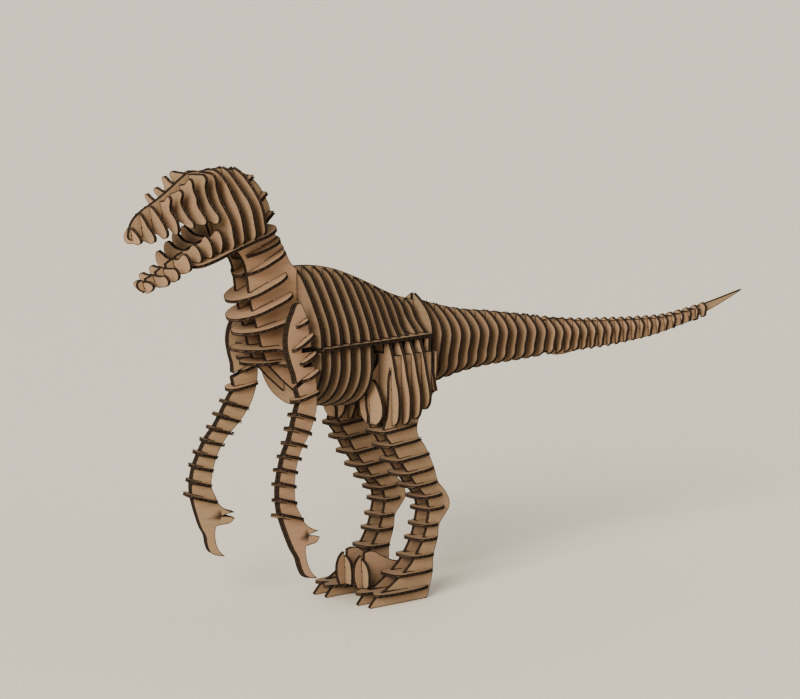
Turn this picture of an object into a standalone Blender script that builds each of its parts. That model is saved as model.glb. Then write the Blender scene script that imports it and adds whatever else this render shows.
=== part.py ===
"""A raptor built from slotted sheets of corrugated cardboard, as a press-out 3D jigsaw.

The dinosaur faces -X and stands on Z = 0, with +Z up. Its left side is -Y. Lengths below are
in millimetres in the body's own frame, whose origin is on the floor under the hips. The empty
"raptor" moves that frame so that the whole model is centred on the world origin.
"""

import math

import bmesh
import bpy
from mathutils import Matrix, Vector

MM = 0.001
BOARD = 3.0  # thickness of the corrugated board
GAP = 0.3  # play on each side of a board in its slot
SLOT = BOARD + 2 * GAP
CURVE_STEPS = 2  # straight pieces between two outline points

HIPS_TO_CENTRE_X = -82.55
RIB_PITCH = 13.33  # body ribs
FIRST_RIB_X = -142.0
RIB_COUNT = 12
FIRST_HIP_RIB = 6  # from here back the ribs leave room for the thighs
RING_PITCH = 14.2  # tail rings carried by the spine
FIRST_RING_X = 18.0
RING_COUNT = 13
TIP_RING_PITCH = 12.7  # tail rings carried by the tail tip
TIP_RING_COUNT = 20
FIRST_TIP_RING_X = 202.6
TAIL_END_X = 510.0

BELT_Z = 264.0
BELT_INNER_Y = 14.0
THIGH_TOP_Z = 251.0
NECK_Y = 10.0
SKULL_ORIGIN = (-222.0, 0.0, 369.0)
SKULL_PITCH = 15.8  # degrees that the skull is tipped up at the back
SKULL_RIB_PITCH = 13.0
FIRST_SKULL_RIB = 27.5
SHANK_Y = (24.0, 42.0)  # inner and outer leg plates
CLAW_Y = 13.0
SOLE_Z = 12.0
ARM_ORIGIN = (-152.0, 47.0, 210.0)
ARM_TOE_IN = 8.0
ARM_SPLAY = 7.0
ARM_BOARD = 2 * BOARD + GAP  # each arm is two boards side by side

SIDES = {"left": -1, "right": 1}

SIDE_PLANE = Matrix(((1, 0, 0, 0), (0, 0, -1, 0), (0, 1, 0, 0), (0, 0, 0, 1)))
CROSS_PLANE = Matrix(((0, 0, 1, 0), (1, 0, 0, 0), (0, 1, 0, 0), (0, 0, 0, 1)))
FLAT_PLANE = Matrix.Identity(4)


# ---------------------------------------------------------------- scene and materials


def clear_scene():
    for obj in list(bpy.data.objects):
        bpy.data.objects.remove(obj)


def new_collection(name):
    collection = bpy.data.collections.new(name)
    bpy.context.scene.collection.children.link(collection)
    return collection


def board_material(name, shade):
    """Kraft board, a little lighter or darker for each sub-part."""
    material = bpy.data.materials.new(name)
    material.use_nodes = True
    shader = material.node_tree.nodes["Principled BSDF"]
    shader.inputs["Base Color"].default_value = (0.47 * shade, 0.29 * shade, 0.16 * shade, 1.0)
    shader.inputs["Roughness"].default_value = 0.85
    shader.inputs["Metallic"].default_value = 0.0
    return material


def add_group(name, location=(0, 0, 0), rotation=None, parent=None):
    """An empty that a module of the model hangs on."""
    empty = bpy.data.objects.new(name, None)
    matrix = Matrix.Translation(Vector(location) * MM)
    empty.matrix_basis = matrix @ (rotation or Matrix.Identity(4))
    empty.parent = parent
    PARTS.objects.link(empty)
    return empty


# ---------------------------------------------------------------- boards and slots


def at(plane, offset):
    """The plane's matrix, moved to an offset in millimetres in the group's frame."""
    return Matrix.Translation(Vector(offset) * MM) @ plane


def corner(u, v):
    return (u, v, "VECTOR")


def mirrored(half):
    """Closes a half outline that runs from the centre line at the top to the one at the bottom."""
    other = [(-point[0], *point[1:]) for point in reversed(half) if abs(point[0]) > 1e-6]
    return half + other


def outline_curve(name, outline, thickness, holes=()):
    curve = bpy.data.curves.new(name, "CURVE")
    curve.dimensions = "2D"
    curve.fill_mode = "BOTH"
    curve.extrude = thickness * MM / 2
    curve.resolution_u = CURVE_STEPS
    for loop in (outline, *holes):
        spline = curve.splines.new("BEZIER")
        spline.use_cyclic_u = True
        spline.bezier_points.add(len(loop) - 1)
        for knot, point in zip(spline.bezier_points, loop):
            knot.co = (point[0] * MM, point[1] * MM, 0.0)
            kind = point[2] if len(point) > 2 else "AUTO"
            knot.handle_left_type = kind
            knot.handle_right_type = kind
    return curve


def curve_mesh(name, curve):
    """The curve's solid as a mesh with its caps welded on."""
    holder = bpy.data.objects.new(name + "_outline", curve)
    PARTS.objects.link(holder)
    graph = bpy.context.evaluated_depsgraph_get()
    mesh = bpy.data.meshes.new_from_object(holder.evaluated_get(graph))
    bpy.data.objects.remove(holder)
    mesh.name = name
    shape = bmesh.new()
    shape.from_mesh(mesh)
    bmesh.ops.remove_doubles(shape, verts=shape.verts, dist=1e-6)
    bmesh.ops.dissolve_limit(shape, angle_limit=0.001, verts=shape.verts, edges=shape.edges)
    bmesh.ops.recalc_face_normals(shape, faces=shape.faces)
    shape.to_mesh(mesh)
    shape.free()
    return mesh


def add_board(name, outline, placement, group, material, thickness=BOARD, helper=False):
    """One flat board: its outline, pushed to the board's thickness and placed in its group."""
    mesh = curve_mesh(name, outline_curve(name, outline, thickness))
    obj = bpy.data.objects.new(name, mesh)
    obj.parent = group
    obj.matrix_basis = placement
    mesh.materials.append(material)
    if helper:
        hide_helper(obj)
    else:
        PARTS.objects.link(obj)
    return obj


def hide_helper(obj):
    CUTTERS.objects.link(obj)
    obj.hide_render = True
    obj.display_type = "WIRE"


def box(centre, size, turn=None):
    """A box's matrix for a slot cutter, in millimetres in the group's frame."""
    matrix = Matrix.Translation(Vector(centre) * MM) @ (turn or Matrix.Identity(4))
    return matrix @ Matrix.Diagonal((*(Vector(size) * MM), 1.0))


def span_box(low, high):
    """The box between two opposite corners."""
    low, high = Vector(low), Vector(high)
    lows = Vector(map(min, low, high))
    highs = Vector(map(max, low, high))
    return box((lows + highs) / 2, highs - lows)


def cut_slots(obj, boxes):
    """Cuts every box out of a board with one Boolean."""
    if not boxes:
        return
    mesh = bpy.data.meshes.new(obj.name + "_slots")
    shape = bmesh.new()
    for matrix in boxes:
        bmesh.ops.create_cube(shape, size=1.0, matrix=matrix)
    bmesh.ops.recalc_face_normals(shape, faces=shape.faces)
    shape.to_mesh(mesh)
    shape.free()
    cutter = bpy.data.objects.new(obj.name + "_slots", mesh)
    cutter.parent = obj.parent
    hide_helper(cutter)
    modifier = obj.modifiers.new("Slots", "BOOLEAN")
    modifier.operation = "DIFFERENCE"
    modifier.solver = "EXACT"
    modifier.object = cutter


def join_boards(obj, others):
    """Glues helper boards to a board, one union for each."""
    for other in others:
        modifier = obj.modifiers.new("Join " + other.name, "BOOLEAN")
        modifier.operation = "UNION"
        modifier.solver = "EXACT"
        modifier.object = other


# ---------------------------------------------------------------- the body's lines


def interpolate(stations, x):
    """A line through (x, value) stations, level beyond its ends."""
    if x <= stations[0][0]:
        return stations[0][1]
    for (x0, v0), (x1, v1) in zip(stations, stations[1:]):
        if x <= x1:
            return v0 + (v1 - v0) * (x - x0) / (x1 - x0)
    return stations[-1][1]


BACK_LINE = [
    (-146, 342), (-120, 341), (-92, 336), (-66, 327), (-40, 316), (-13, 304), (10, 297), (34, 292),
    (61, 284), (92, 278), (118, 275), (148, 270), (174, 266), (196, 262), (219, 258), (255, 254),
    (323, 249), (362, 247), (385, 247), (416, 250), (440, 253), (TAIL_END_X, 265),
]
BELLY_LINE = [
    (-146, 207), (-110, 201), (-60, 197), (-20, 200), (18, 206), (55, 211), (78, 215), (110, 218),
    (164, 219), (196, 220), (285, 219), (323, 221), (362, 224), (401, 230), (436, 236), (449, 239),
    (481, 249), (TAIL_END_X, 260),
]
SPINE_DEPTH = [(-146, 56), (-60, 60), (10, 62), (40, 72), (61, 66)]
RIB_HALF_WIDTH = [(-142, 47), (-115, 44), (-75, 43), (-35, 40), (-9, 38), (6, 37)]
RING_HALF_WIDTH = [
    (18, 29), (61, 26), (118, 21.5), (148, 19), (203, 17.5), (255, 14), (323, 11), (385, 8.5), (450, 6),
]


def back(x):
    return interpolate(BACK_LINE, x)


def belly(x):
    return interpolate(BELLY_LINE, x)


def rib_half_width(x):
    return interpolate(RIB_HALF_WIDTH, x)


def spine_bottom(x):
    """The spine's lower edge: a deep band in the body, the full depth in the tail."""
    return max(back(x) - interpolate(SPINE_DEPTH, x), belly(x) + 3.0)


def lap_height(x):
    """Where a rib's slot meets the spine's slot."""
    return (back(x) + spine_bottom(x)) / 2


def rib_xs():
    return [FIRST_RIB_X + RIB_PITCH * i for i in range(RIB_COUNT)]


def ring_xs():
    return [FIRST_RING_X + RING_PITCH * i for i in range(RING_COUNT)]


def tip_ring_xs():
    return [FIRST_TIP_RING_X + TIP_RING_PITCH * i for i in range(TIP_RING_COUNT)]


# ---------------------------------------------------------------- body


def rib_outline(width, top, bottom):
    """Half of a body rib, from its peak to the belly, as fractions of its width and height."""
    height = top - bottom
    shape = [
        (0.30, 0.055), (0.52, 0.15), (0.74, 0.27), (0.96, 0.43), (1.0, 0.58),
        (0.98, 0.75), (0.72, 0.90), (0.30, 0.98),
    ]
    half = [corner(0, top)]
    half += [(width * u, top - height * v) for u, v in shape]
    return mirrored(half + [(0, bottom)])


def hip_rib_outline(width, top, bottom):
    """Half of a hip rib: as wide as the others above the thighs, a narrow tongue between them."""
    height = 134.0
    shape = [(0.30, 0.055), (0.52, 0.15), (0.74, 0.27), (0.95, 0.42)]
    half = [corner(0, top)]
    half += [(width * u, top - height * v) for u, v in shape if top - height * v > BELT_Z + 6]
    half += [corner(width, BELT_Z), corner(31, BELT_Z - 0.2), corner(31.1, THIGH_TOP_Z + 0.5)]
    half += [corner(9, THIGH_TOP_Z + 0.7)]
    half += [corner(9, bottom + 10), (5, bottom + 2)]
    return mirrored(half + [(0, bottom)])


def ring_outline(width, top, bottom):
    """A tail ring: roof peak, shoulder, slight waist and a lower lobe."""
    height = top - bottom
    shape = [(0.62, 0.14), (1.0, 0.33), (0.96, 0.52), (0.86, 0.66), (0.80, 0.82), (0.45, 0.94)]
    half = [corner(0, top)]
    half += [(width * u, top - height * v) for u, v in shape]
    return mirrored(half + [(0, bottom)])


def spine_outline():
    """The long back plate, from the shoulders to the tongue that enters the tail tip."""
    shoulder_x = FIRST_RIB_X - 4
    top_xs = [shoulder_x + 1, -120, -92, -66, -40, -13, 10, 40, 75, 110, 148]
    bottom_xs = [148, 110, 75, 48, 30, 10, -13, -40, -66, -92, -120]
    tongue = tongue_span()
    points = [corner(shoulder_x, back(shoulder_x))]
    points += [(x, back(x)) for x in top_xs[1:]]
    points += [corner(tongue[0], back(tongue[0]) - 1), corner(tongue[0], tongue[3])]
    points += [corner(tongue[1], tongue[3]), corner(tongue[1], tongue[2])]
    points += [corner(tongue[0], tongue[2]), corner(tongue[0], spine_bottom(tongue[0]))]
    points += [(x, spine_bottom(x)) for x in bottom_xs]
    return points + [corner(shoulder_x, spine_bottom(shoulder_x))]


def tongue_span():
    """Start, end, bottom and top of the spine's tongue inside the tail tip's first rings."""
    start = ring_xs()[-1] + 4
    return (start, start + 56, 234.0, 246.0)


def add_spine(group, material):
    spine = add_board("spine_plate", spine_outline(), SIDE_PLANE, group, material)
    boxes = []
    for x in rib_xs() + ring_xs():
        low = spine_bottom(x) - 12
        boxes.append(span_box((x - SLOT / 2, -4, low), (x + SLOT / 2, 4, lap_height(x))))
    cut_slots(spine, boxes)


def belt_lap(x):
    """How far out a belt's slot reaches, from the inner edge, where a rib crosses it."""
    return (BELT_INNER_Y + rib_half_width(x)) / 2


def add_ribs(group, material):
    for i, x in enumerate(rib_xs()):
        width = rib_half_width(x)
        shape = hip_rib_outline if i >= FIRST_HIP_RIB else rib_outline
        outline = shape(width, back(x) + 0.5, belly(x))
        rib = add_board(f"body_rib_{i + 1:02d}", outline, at(CROSS_PLANE, (x, 0, 0)), group, material)
        middle = lap_height(x) - GAP
        boxes = [span_box((x - 4, -SLOT / 2, middle), (x + 4, SLOT / 2, back(x) + 12))]
        for side in (-1, 1):
            inner = (x - 4, side * (belt_lap(x) - GAP), BELT_Z - SLOT / 2)
            outer = (x + 4, side * (width + 12), BELT_Z + SLOT / 2)
            boxes.append(span_box(inner, outer))
        if i == 0:
            boxes += neck_tenons(GAP)
        cut_slots(rib, boxes)


def add_rings(group, material):
    for i, x in enumerate(ring_xs()):
        width = interpolate(RING_HALF_WIDTH, x)
        crest = 8.0 if i == 0 else 2.0
        outline = ring_outline(width, back(x) + crest, belly(x))
        name = f"tail_ring_{i + 1:02d}"
        ring = add_board(name, outline, at(CROSS_PLANE, (x, 0, 0)), group, material)
        low = (x - 4, -SLOT / 2, lap_height(x) - GAP)
        cut_slots(ring, [span_box(low, (x + 4, SLOT / 2, back(x) + 20))])


def add_belts(group, material):
    """Two level plates that clip the ribs together from the sides and carry the legs."""
    xs = [-138, -115, -75, -35, -9]
    rear_x = rib_xs()[-1] + 5
    front_x = FIRST_RIB_X - 4
    inner_x = FIRST_RIB_X + SLOT / 2 - 0.5
    lap = belt_lap(FIRST_RIB_X)
    for side_name, side in SIDES.items():
        outer = [(x, side * (rib_half_width(x) + 2)) for x in xs]
        outline = [corner(inner_x, side * BELT_INNER_Y), corner(inner_x, side * (lap - 0.6))]
        outline += [corner(front_x, side * (lap - 0.4)), (front_x + 2, side * 45)] + outer
        outline += [corner(rear_x, side * (rib_half_width(rear_x) + 1)), corner(rear_x, side * BELT_INNER_Y)]
        belt = add_board("belt_" + side_name, outline, at(FLAT_PLANE, (0, 0, BELT_Z)), group, material)
        boxes = []
        for x in rib_xs():
            inner = (x - SLOT / 2, side * (BELT_INNER_Y - 6), BELT_Z - 4)
            boxes.append(span_box(inner, (x + SLOT / 2, side * belt_lap(x), BELT_Z + 4)))
        for x in thigh_tab_xs():
            half = TAB_WIDTH / 2 + GAP
            y = side * SHANK_Y[0]
            low = (x - half, y - SLOT / 2, BELT_Z - 4)
            boxes.append(span_box(low, (x + half, y + SLOT / 2, BELT_Z + 4)))
        cut_slots(belt, boxes)


# ---------------------------------------------------------------- tail tip


CHEEK_END_X = 428.0


def tip_outline(end):
    """A board that runs from the splice to the very end of the tail, or to a square end."""
    start = ring_xs()[-1] + 5
    top_xs = [x for x in (FIRST_TIP_RING_X, 255, 323, 385, 440) if x < end]
    bottom_xs = [x for x in (481, 455, 436, 401, 362, 323, 255, FIRST_TIP_RING_X) if x < end]
    points = [corner(start, 232), corner(start, back(start) - 6)]
    points += [(x, back(x) - 2) for x in top_xs]
    points += [corner(end, back(end) - 2), corner(end, min(belly(end) + 3, back(end) - 2.5))]
    points += [(x, belly(x) + 3) for x in bottom_xs]
    return points


def add_tail_tip(group, material):
    """Two boards hold the spine's tongue between them; one runs on to the end of the tail."""
    y = BOARD + GAP
    plate = add_board("tail_tip", tip_outline(TAIL_END_X), at(SIDE_PLANE, (0, y, 0)), group, material)
    placement = at(SIDE_PLANE, (0, -y, 0))
    rings = [add_board("tail_cheek", tip_outline(CHEEK_END_X), placement, group, material, helper=True)]
    for i, x in enumerate(tip_ring_xs()):
        width = interpolate(RING_HALF_WIDTH, x)
        outline = ring_outline(width, back(x) + 1, belly(x))
        name = f"tail_tip_ring_{i + 1:02d}"
        rings.append(add_board(name, outline, at(CROSS_PLANE, (x, 0, 0)), group, material, helper=True))
    join_boards(plate, rings)
    start, end, low, high = tongue_span()
    near = (start - 9, -SLOT / 2, low - GAP)
    cut_slots(plate, [span_box(near, (end + GAP, SLOT / 2, high + GAP))])


# ---------------------------------------------------------------- neck and chest

NECK_FRONT = [
    (-210, 352), (-206, 339), (-203, 319), (-199, 302), (-193, 284), (-188, 267), (-182, 253),
    (-170, 240), (-155, 227),
]
NECK_REAR = [(-152, 347), (-160, 362)]
NECK_TABS = (8.0, 21.0)  # along the skull's base
TAB_WIDTH = 8.0
TENON_HEIGHTS = ((292, 310), (236, 252))


def skull_matrix():
    turn = Matrix.Rotation(math.radians(-SKULL_PITCH), 4, "Y")
    return Matrix.Translation(SKULL_ORIGIN) @ turn


def skull_point(u, w):
    """A point of the skull's middle plane in the body's frame, as (x, z)."""
    point = skull_matrix() @ Vector((u, 0, w))
    return (point.x, point.z)


def neck_outline():
    base = -BOARD / 2 - GAP
    points = [corner(*skull_point(-1, base))]
    for tab in NECK_TABS:
        left, right = tab - TAB_WIDTH / 2, tab + TAB_WIDTH / 2
        for u, w in ((left, base), (left, 6), (right, 6), (right, base)):
            points.append(corner(*skull_point(u, w)))
    rear_x = FIRST_RIB_X - BOARD / 2 - GAP
    points += [corner(*skull_point(48, base))] + list(reversed(NECK_REAR))
    points += [corner(rear_x, 340)]
    for low, high in TENON_HEIGHTS:
        points += [corner(rear_x, high), corner(rear_x + 7, high)]
        points += [corner(rear_x + 7, low), corner(rear_x, low)]
    points += [corner(rear_x, 218)]
    return points + list(reversed(NECK_FRONT))


def neck_tenons(play):
    """The boxes that the neck's tenons fill in the first rib."""
    boxes = []
    for y in (-NECK_Y, NECK_Y):
        for low, high in TENON_HEIGHTS:
            half = BOARD / 2 + play
            near = (FIRST_RIB_X - 4, y - half, low - play)
            boxes.append(span_box(near, (FIRST_RIB_X + 4, y + half, high + play)))
    return boxes


# name: centre x, centre z, tilt in degrees, front x, rear x, half width, wraps the front
NECK_DISCS = {
    "neck_disc_1": (-190, 362.5, 19.0, -212, -163, 22, False),
    "neck_disc_2": (-190, 346.5, 23.5, -211, -158, 23, False),
    "neck_disc_3": (-195, 322.5, 21.0, -219, -156, 24, True),
    "neck_disc_4": (-195, 303.0, 18.6, -217, -150, 25, True),
    "neck_disc_5": (-195, 284.8, 11.8, -211, -148, 25, True),
    "neck_disc_6": (-195, 266.0, 0.0, -212, -147, 26, True),
    "neck_disc_7": (-195, 252.0, 0.0, -203, -147, 21, True),
}
SHOULDER_DISCS = ("neck_disc_6", "neck_disc_7")
SHOULDER_LAP = -14.0  # along the arm, where its slots end


def disc_frame(name):
    x, z, tilt = NECK_DISCS[name][:3]
    return Matrix.Translation(Vector((x, 0, z)) * MM) @ Matrix.Rotation(math.radians(-tilt), 4, "Y")


def disc_outline(name):
    """Plan of a neck disc about its centre, rounded at the front; shoulder discs flare to the arms."""
    x, _, tilt, front, rear, width, _ = NECK_DISCS[name]
    stretch = 1 / math.cos(math.radians(tilt))
    front = (front - x) * stretch
    rear = (rear - x) * stretch
    half = [(0.0, front), (width * 0.55, front + 5), (width * 0.92, front + 17), (width, front + 30)]
    if name in SHOULDER_DISCS:
        half += [(width + 8, 12), corner(42, 18), corner(42, rear - 5.5), corner(38, rear)]
    else:
        half += [(width * 0.9, rear - 10), (width * 0.5, rear - 2)]
    half += [corner(0, rear) if name in SHOULDER_DISCS else (0, rear)]
    points = mirrored(half)
    return [(point[1], point[0], *point[2:]) for point in points]


def disc_lap_x(name):
    """Where a disc's slots end, midway through the neck plate."""
    front, rear = NECK_DISCS[name][3:5]
    return (max(front, interpolate(NECK_FRONT_BY_Z, NECK_DISCS[name][1])) + rear) / 2


NECK_FRONT_BY_Z = sorted((z, x) for x, z in NECK_FRONT)


def add_neck(group, material):
    plates = []
    for side_name, side in SIDES.items():
        placement = at(SIDE_PLANE, (0, side * NECK_Y, 0))
        plates.append(add_board("neck_plate_" + side_name, neck_outline(), placement, group, material))
    for plate, y in zip(plates, (-NECK_Y, NECK_Y)):
        cut_slots(plate, [disc_slot(name, y) for name in NECK_DISCS])
    for name in NECK_DISCS:
        disc = add_board(name, disc_outline(name), disc_frame(name), group, material)
        boxes = [plate_slot(name, y) for y in (-NECK_Y, NECK_Y)]
        if name in SHOULDER_DISCS:
            boxes += [arm_slot(name, side) for side in (-1, 1)]
        cut_slots(disc, boxes)


def disc_box(name, y, thickness, width, forward):
    """A box in the disc's own plane that runs from its lap line to one end."""
    centre_x, _, tilt, _, _, _, _ = NECK_DISCS[name]
    lap = (disc_lap_x(name) - centre_x) / math.cos(math.radians(tilt))
    if forward:
        low, high = lap - 90, lap
    else:
        low, high = lap, lap + 90
    frame = disc_frame(name) @ Matrix.Translation(Vector(((low + high) / 2, y, 0)) * MM)
    return frame @ Matrix.Diagonal((*(Vector((high - low, width, thickness)) * MM), 1.0))


def disc_slot(name, y):
    """The slot in a neck plate: from its front edge for a disc that wraps the front."""
    return disc_box(name, y, SLOT, 8.0, NECK_DISCS[name][6])


def plate_slot(name, y):
    """The slot in a disc for one neck plate, open on the other side."""
    wraps = NECK_DISCS[name][6]
    matrix = disc_box(name, y, 8.0, SLOT, not wraps)
    play = GAP if wraps else -GAP
    return disc_frame(name) @ Matrix.Translation((-play * MM, 0, 0)) @ disc_frame(name).inverted() @ matrix


# ---------------------------------------------------------------- skull


def skull_top(points, bottom):
    """Half of a skull rib that stands on the skull base."""
    half = [corner(*points[0])] + list(points[1:-1]) + [corner(*points[-1])]
    return mirrored(half + [corner(0, bottom)])


BASE_TOP = BOARD / 2 + GAP
BACK_OF_SKULL = {
    1: [(0, 69), (11, 64), (21, 54), (28, 43), (32, 32), (32, 17), (27, BASE_TOP)],
    2: [(0, 74), (10, 70), (19, 60), (26, 50), (33, 39), (34, 22), (28, BASE_TOP)],
    3: [(0, 76), (12, 73), (22, 63), (27, 50), (32, 36), (32, 19), (26, BASE_TOP)],
    4: [(0, 77), (12, 77), (23, 74), (22.5, 62), (24, 49), (28, 41), (32, 31), (32, 18), (27, BASE_TOP)],
}
UPPER_JAW = {
    5: [(0, 79), (14, 80), (27, 78), (23, 67), (24, 54), (29, 46), (34, 39), (29, 32), (14, 35), (0, 35.3)],
    6: [(0, 73), (10, 74.5), (21, 80), (22, 69), (24, 61), (23, 55), (28, 46), (31, 39), (24, 35), (0, 38.6)],
    7: [(0, 68), (9, 71), (21, 72.5), (16, 61), (22, 48), (28, 41), (26, 37), (19, 37), (10, 41), (0, 42)],
    8: [(0, 66), (9, 67.5), (18, 72), (15, 58), (20, 50), (20, 39), (16, 34), (11, 35), (6, 40), (0, 41)],
    9: [(0, 66.5), (5, 65.5), (10, 61), (15, 54), (19, 46), (19.5, 39), (13, 34.5), (6, 38), (0, 39.4)],
    10: [(0, 64.5), (3, 63.5), (7, 59), (11, 51), (16, 44), (16.5, 38), (10, 34.5), (0, 36)],
    11: [(0, 56), (6, 51), (11, 46), (12.5, 41), (9, 38), (0, 38.5)],
}
LOWER_JAW = {
    5: [(0, 17), (14, 19), (24, 25.5), (29, 24), (31, 16), (27, 6), corner(24, BASE_TOP), (0, BASE_TOP)],
    6: [(0, 15), (13, 17), (22, 24), (27, 22), (30, 13), (28, 5), corner(25, BASE_TOP), (0, BASE_TOP)],
    7: [(0, 12.5), (11, 15), (19, 20), (24, 18), (28, 10), (26, 4), corner(22, BASE_TOP), (0, BASE_TOP)],
    8: [(0, 9), (9, 9.5), (16, 14), (21, 15), (26, 6), (24, 0), (17, -4), (0, -6)],
    9: [(0, 4), (12, 5), (19, 5), (22, -1), (17, -7), (0, -9)],
    10: [(0, 2.3), (11, 2), (18, 3), (22, -1), (20, -6), (10, -9), (0, -10)],
    11: [(0, 0.3), (7, 1), (12, 0), (15, -3), (12, -7), (5, -10.5), (0, -11.5)],
}
SKULL_PROFILE = [
    (-106, 51), (-100, 59), (-88, 64.5), (-73, 67.5), (-60, 70.5), (-48, 74), (-36, 78), (-24, 80.5),
    (-10, 77.5), (0, 75.5), (11, 73), (23, 67.5), (36, 60), (49, 47), (57, 28), (59, 12), (55, 5),
]


SKULL_TABS = (21.0, -5.0)  # along the skull's base, between its ribs


def skull_rib_x(number):
    return FIRST_SKULL_RIB - SKULL_RIB_PITCH * (number - 1)


def skull_lap(number):
    """Height where a skull rib's slot meets the skull plate's slot."""
    if number in UPPER_JAW:
        points = UPPER_JAW[number]
    else:
        points = BACK_OF_SKULL[number]
    return (points[0][1] + points[-1][1]) / 2


# the three rungs down the nape: place along and above the skull's base, and their outward tilt
NAPE_RUNGS = ((44.3, 52.3, 24), (56, 31, 27), (58.6, 10.6, 25))
RUNG_INSET = 5.5
RUNG_LENGTH = 14.0
RUNG_HALF_WIDTH = 7.5


def rung_placement(rung):
    u, w, turn = rung
    radial = Matrix.Rotation(math.radians(-turn), 4, "Y")
    return Matrix.Translation(Vector((u - RUNG_INSET, 0, w - 2)) * MM) @ radial


def add_skull_plate(group, material):
    outline = list(SKULL_PROFILE) + [corner(54, BASE_TOP + 0.3)]
    for tab in SKULL_TABS:
        low = -BOARD / 2 - 2.5
        outline += [corner(tab + 4, BASE_TOP + 0.1), corner(tab + 4, low), corner(tab - 4, low)]
        outline += [corner(tab - 4, BASE_TOP)]
    outline += [corner(-16, BASE_TOP + 0.3), (-17, 20), (-21, 32), (-38, 38), (-60, 41), (-94, 41.5)]
    outline += [(-105, 42), (-108, 46)]
    plate = add_board("skull_plate", outline, SIDE_PLANE, group, material)
    snout = []
    for number in (9, 10, 11):
        placement = at(CROSS_PLANE, (skull_rib_x(number), 0, 0))
        name = f"snout_rib_{number:02d}"
        snout.append(add_board(name, jaw_outline(UPPER_JAW[number]), placement, group, material, helper=True))
    for i, rung in enumerate(NAPE_RUNGS):
        half, across = RUNG_LENGTH / 2, RUNG_HALF_WIDTH
        outline = [corner(-half, -across), corner(half, -across), corner(half, across)]
        outline += [corner(-half, across)]
        name = f"nape_rung_{i + 1}"
        snout.append(add_board(name, outline, rung_placement(rung), group, material, helper=True))
    join_boards(plate, snout)
    boxes = []
    for number in range(1, 9):
        x = skull_rib_x(number)
        low = -6 if number < 5 else 28
        boxes.append(span_box((x - SLOT / 2, -4, low), (x + SLOT / 2, 4, skull_lap(number))))
    cut_slots(plate, boxes)


def jaw_outline(points):
    half = [corner(*points[0])] + list(points[1:-1]) + [corner(*points[-1])]
    return mirrored(half)


def add_skull_ribs(group, material):
    for number in range(1, 9):
        x = skull_rib_x(number)
        if number < 5:
            outline = skull_top(BACK_OF_SKULL[number], BASE_TOP)
        else:
            outline = jaw_outline(UPPER_JAW[number])
        name = f"skull_rib_{number:02d}"
        rib = add_board(name, outline, at(CROSS_PLANE, (x, 0, 0)), group, material)
        low = (x - 4, -SLOT / 2, skull_lap(number) - GAP)
        cut_slots(rib, [span_box(low, (x + 4, SLOT / 2, 100))])


def add_skull_base(group, material):
    half = [(-59, 16), (-55, 28), (-46, 31), (-20, 30), (10, 29), (30, 29.5), (44, 24), (52, 12)]
    outline = half + [(53, 0)] + [(u, -v) for u, v in reversed(half)] + [(-60.5, 0)]
    base = add_board("skull_base", outline, FLAT_PLANE, group, material)
    boxes = []
    for tab in NECK_TABS:
        for y in (-NECK_Y, NECK_Y):
            half_tab = TAB_WIDTH / 2 + GAP
            low = (tab - half_tab, y - SLOT / 2, -4)
            boxes.append(span_box(low, (tab + half_tab, y + SLOT / 2, 4)))
    for tab in SKULL_TABS:
        boxes.append(span_box((tab - 4 - GAP, -SLOT / 2, -4), (tab + 4 + GAP, SLOT / 2, 4)))
    cut_slots(base, boxes)


def add_jaw(group, material):
    """The lower jaw's middle plate with its seven ribs joined on."""
    outline = [corner(-17.6, 14.5), (-38, 13.5), (-52, 11.5), (-64, 10), (-81, 6), (-98, 2.6), (-106, 3)]
    outline += [(-111, 0), (-105, -9), (-85, -8), corner(-63, -5), corner(-63, BASE_TOP)]
    outline.append(corner(-17.6, BASE_TOP))
    plate = add_board("jaw_plate", outline, SIDE_PLANE, group, material)
    ribs = []
    for number, points in LOWER_JAW.items():
        placement = at(CROSS_PLANE, (skull_rib_x(number), 0, 0))
        name = f"jaw_rib_{number:02d}"
        ribs.append(add_board(name, jaw_outline(points), placement, group, material, helper=True))
    join_boards(plate, ribs)


def add_head(root, material):
    turn = Matrix.Rotation(math.radians(-SKULL_PITCH), 4, "Y")
    group = add_group("head", SKULL_ORIGIN, turn, root)
    add_skull_base(group, material)
    add_skull_plate(group, material)
    add_skull_ribs(group, material)
    add_jaw(group, material)


# ---------------------------------------------------------------- arms

ARM_OUTLINE = [
    (-11, 102), (-22, 92), (-31, 77), (-34, 62), (-31, 46), (-27, 34), (-26, 20), (-24, 10), (-28, 3),
    (-34, -9), (-43, -26), (-52, -38), (-58, -50), (-63, -62), (-66, -76), (-66, -90), (-63, -102),
    (-58, -116), (-52, -130), (-47, -138), (-44, -149), (-39, -157),
]
ARM_TIP = (-23, -162)
ARM_HAND = [
    (-31, -154), (-35, -144), (-36, -134), corner(-35, -129), (-28, -128.5), (-19, -127.5),
    corner(-14, -123), (-22, -120.4), corner(-30, -119.5), (-22, -117.6), corner(-14.5, -117),
    (-24, -113.5), (-33, -107), (-38, -98),
]
ARM_REAR = [
    (-43, -88), (-43, -74), (-40, -60), (-34, -46), (-27, -36), (-18, -27), (-10, -17), (-4, -7), (0, 4),
    (2, 16), (2, 30), (1, 46), (0, 62), (-2, 80), (-5, 94),
]
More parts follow.
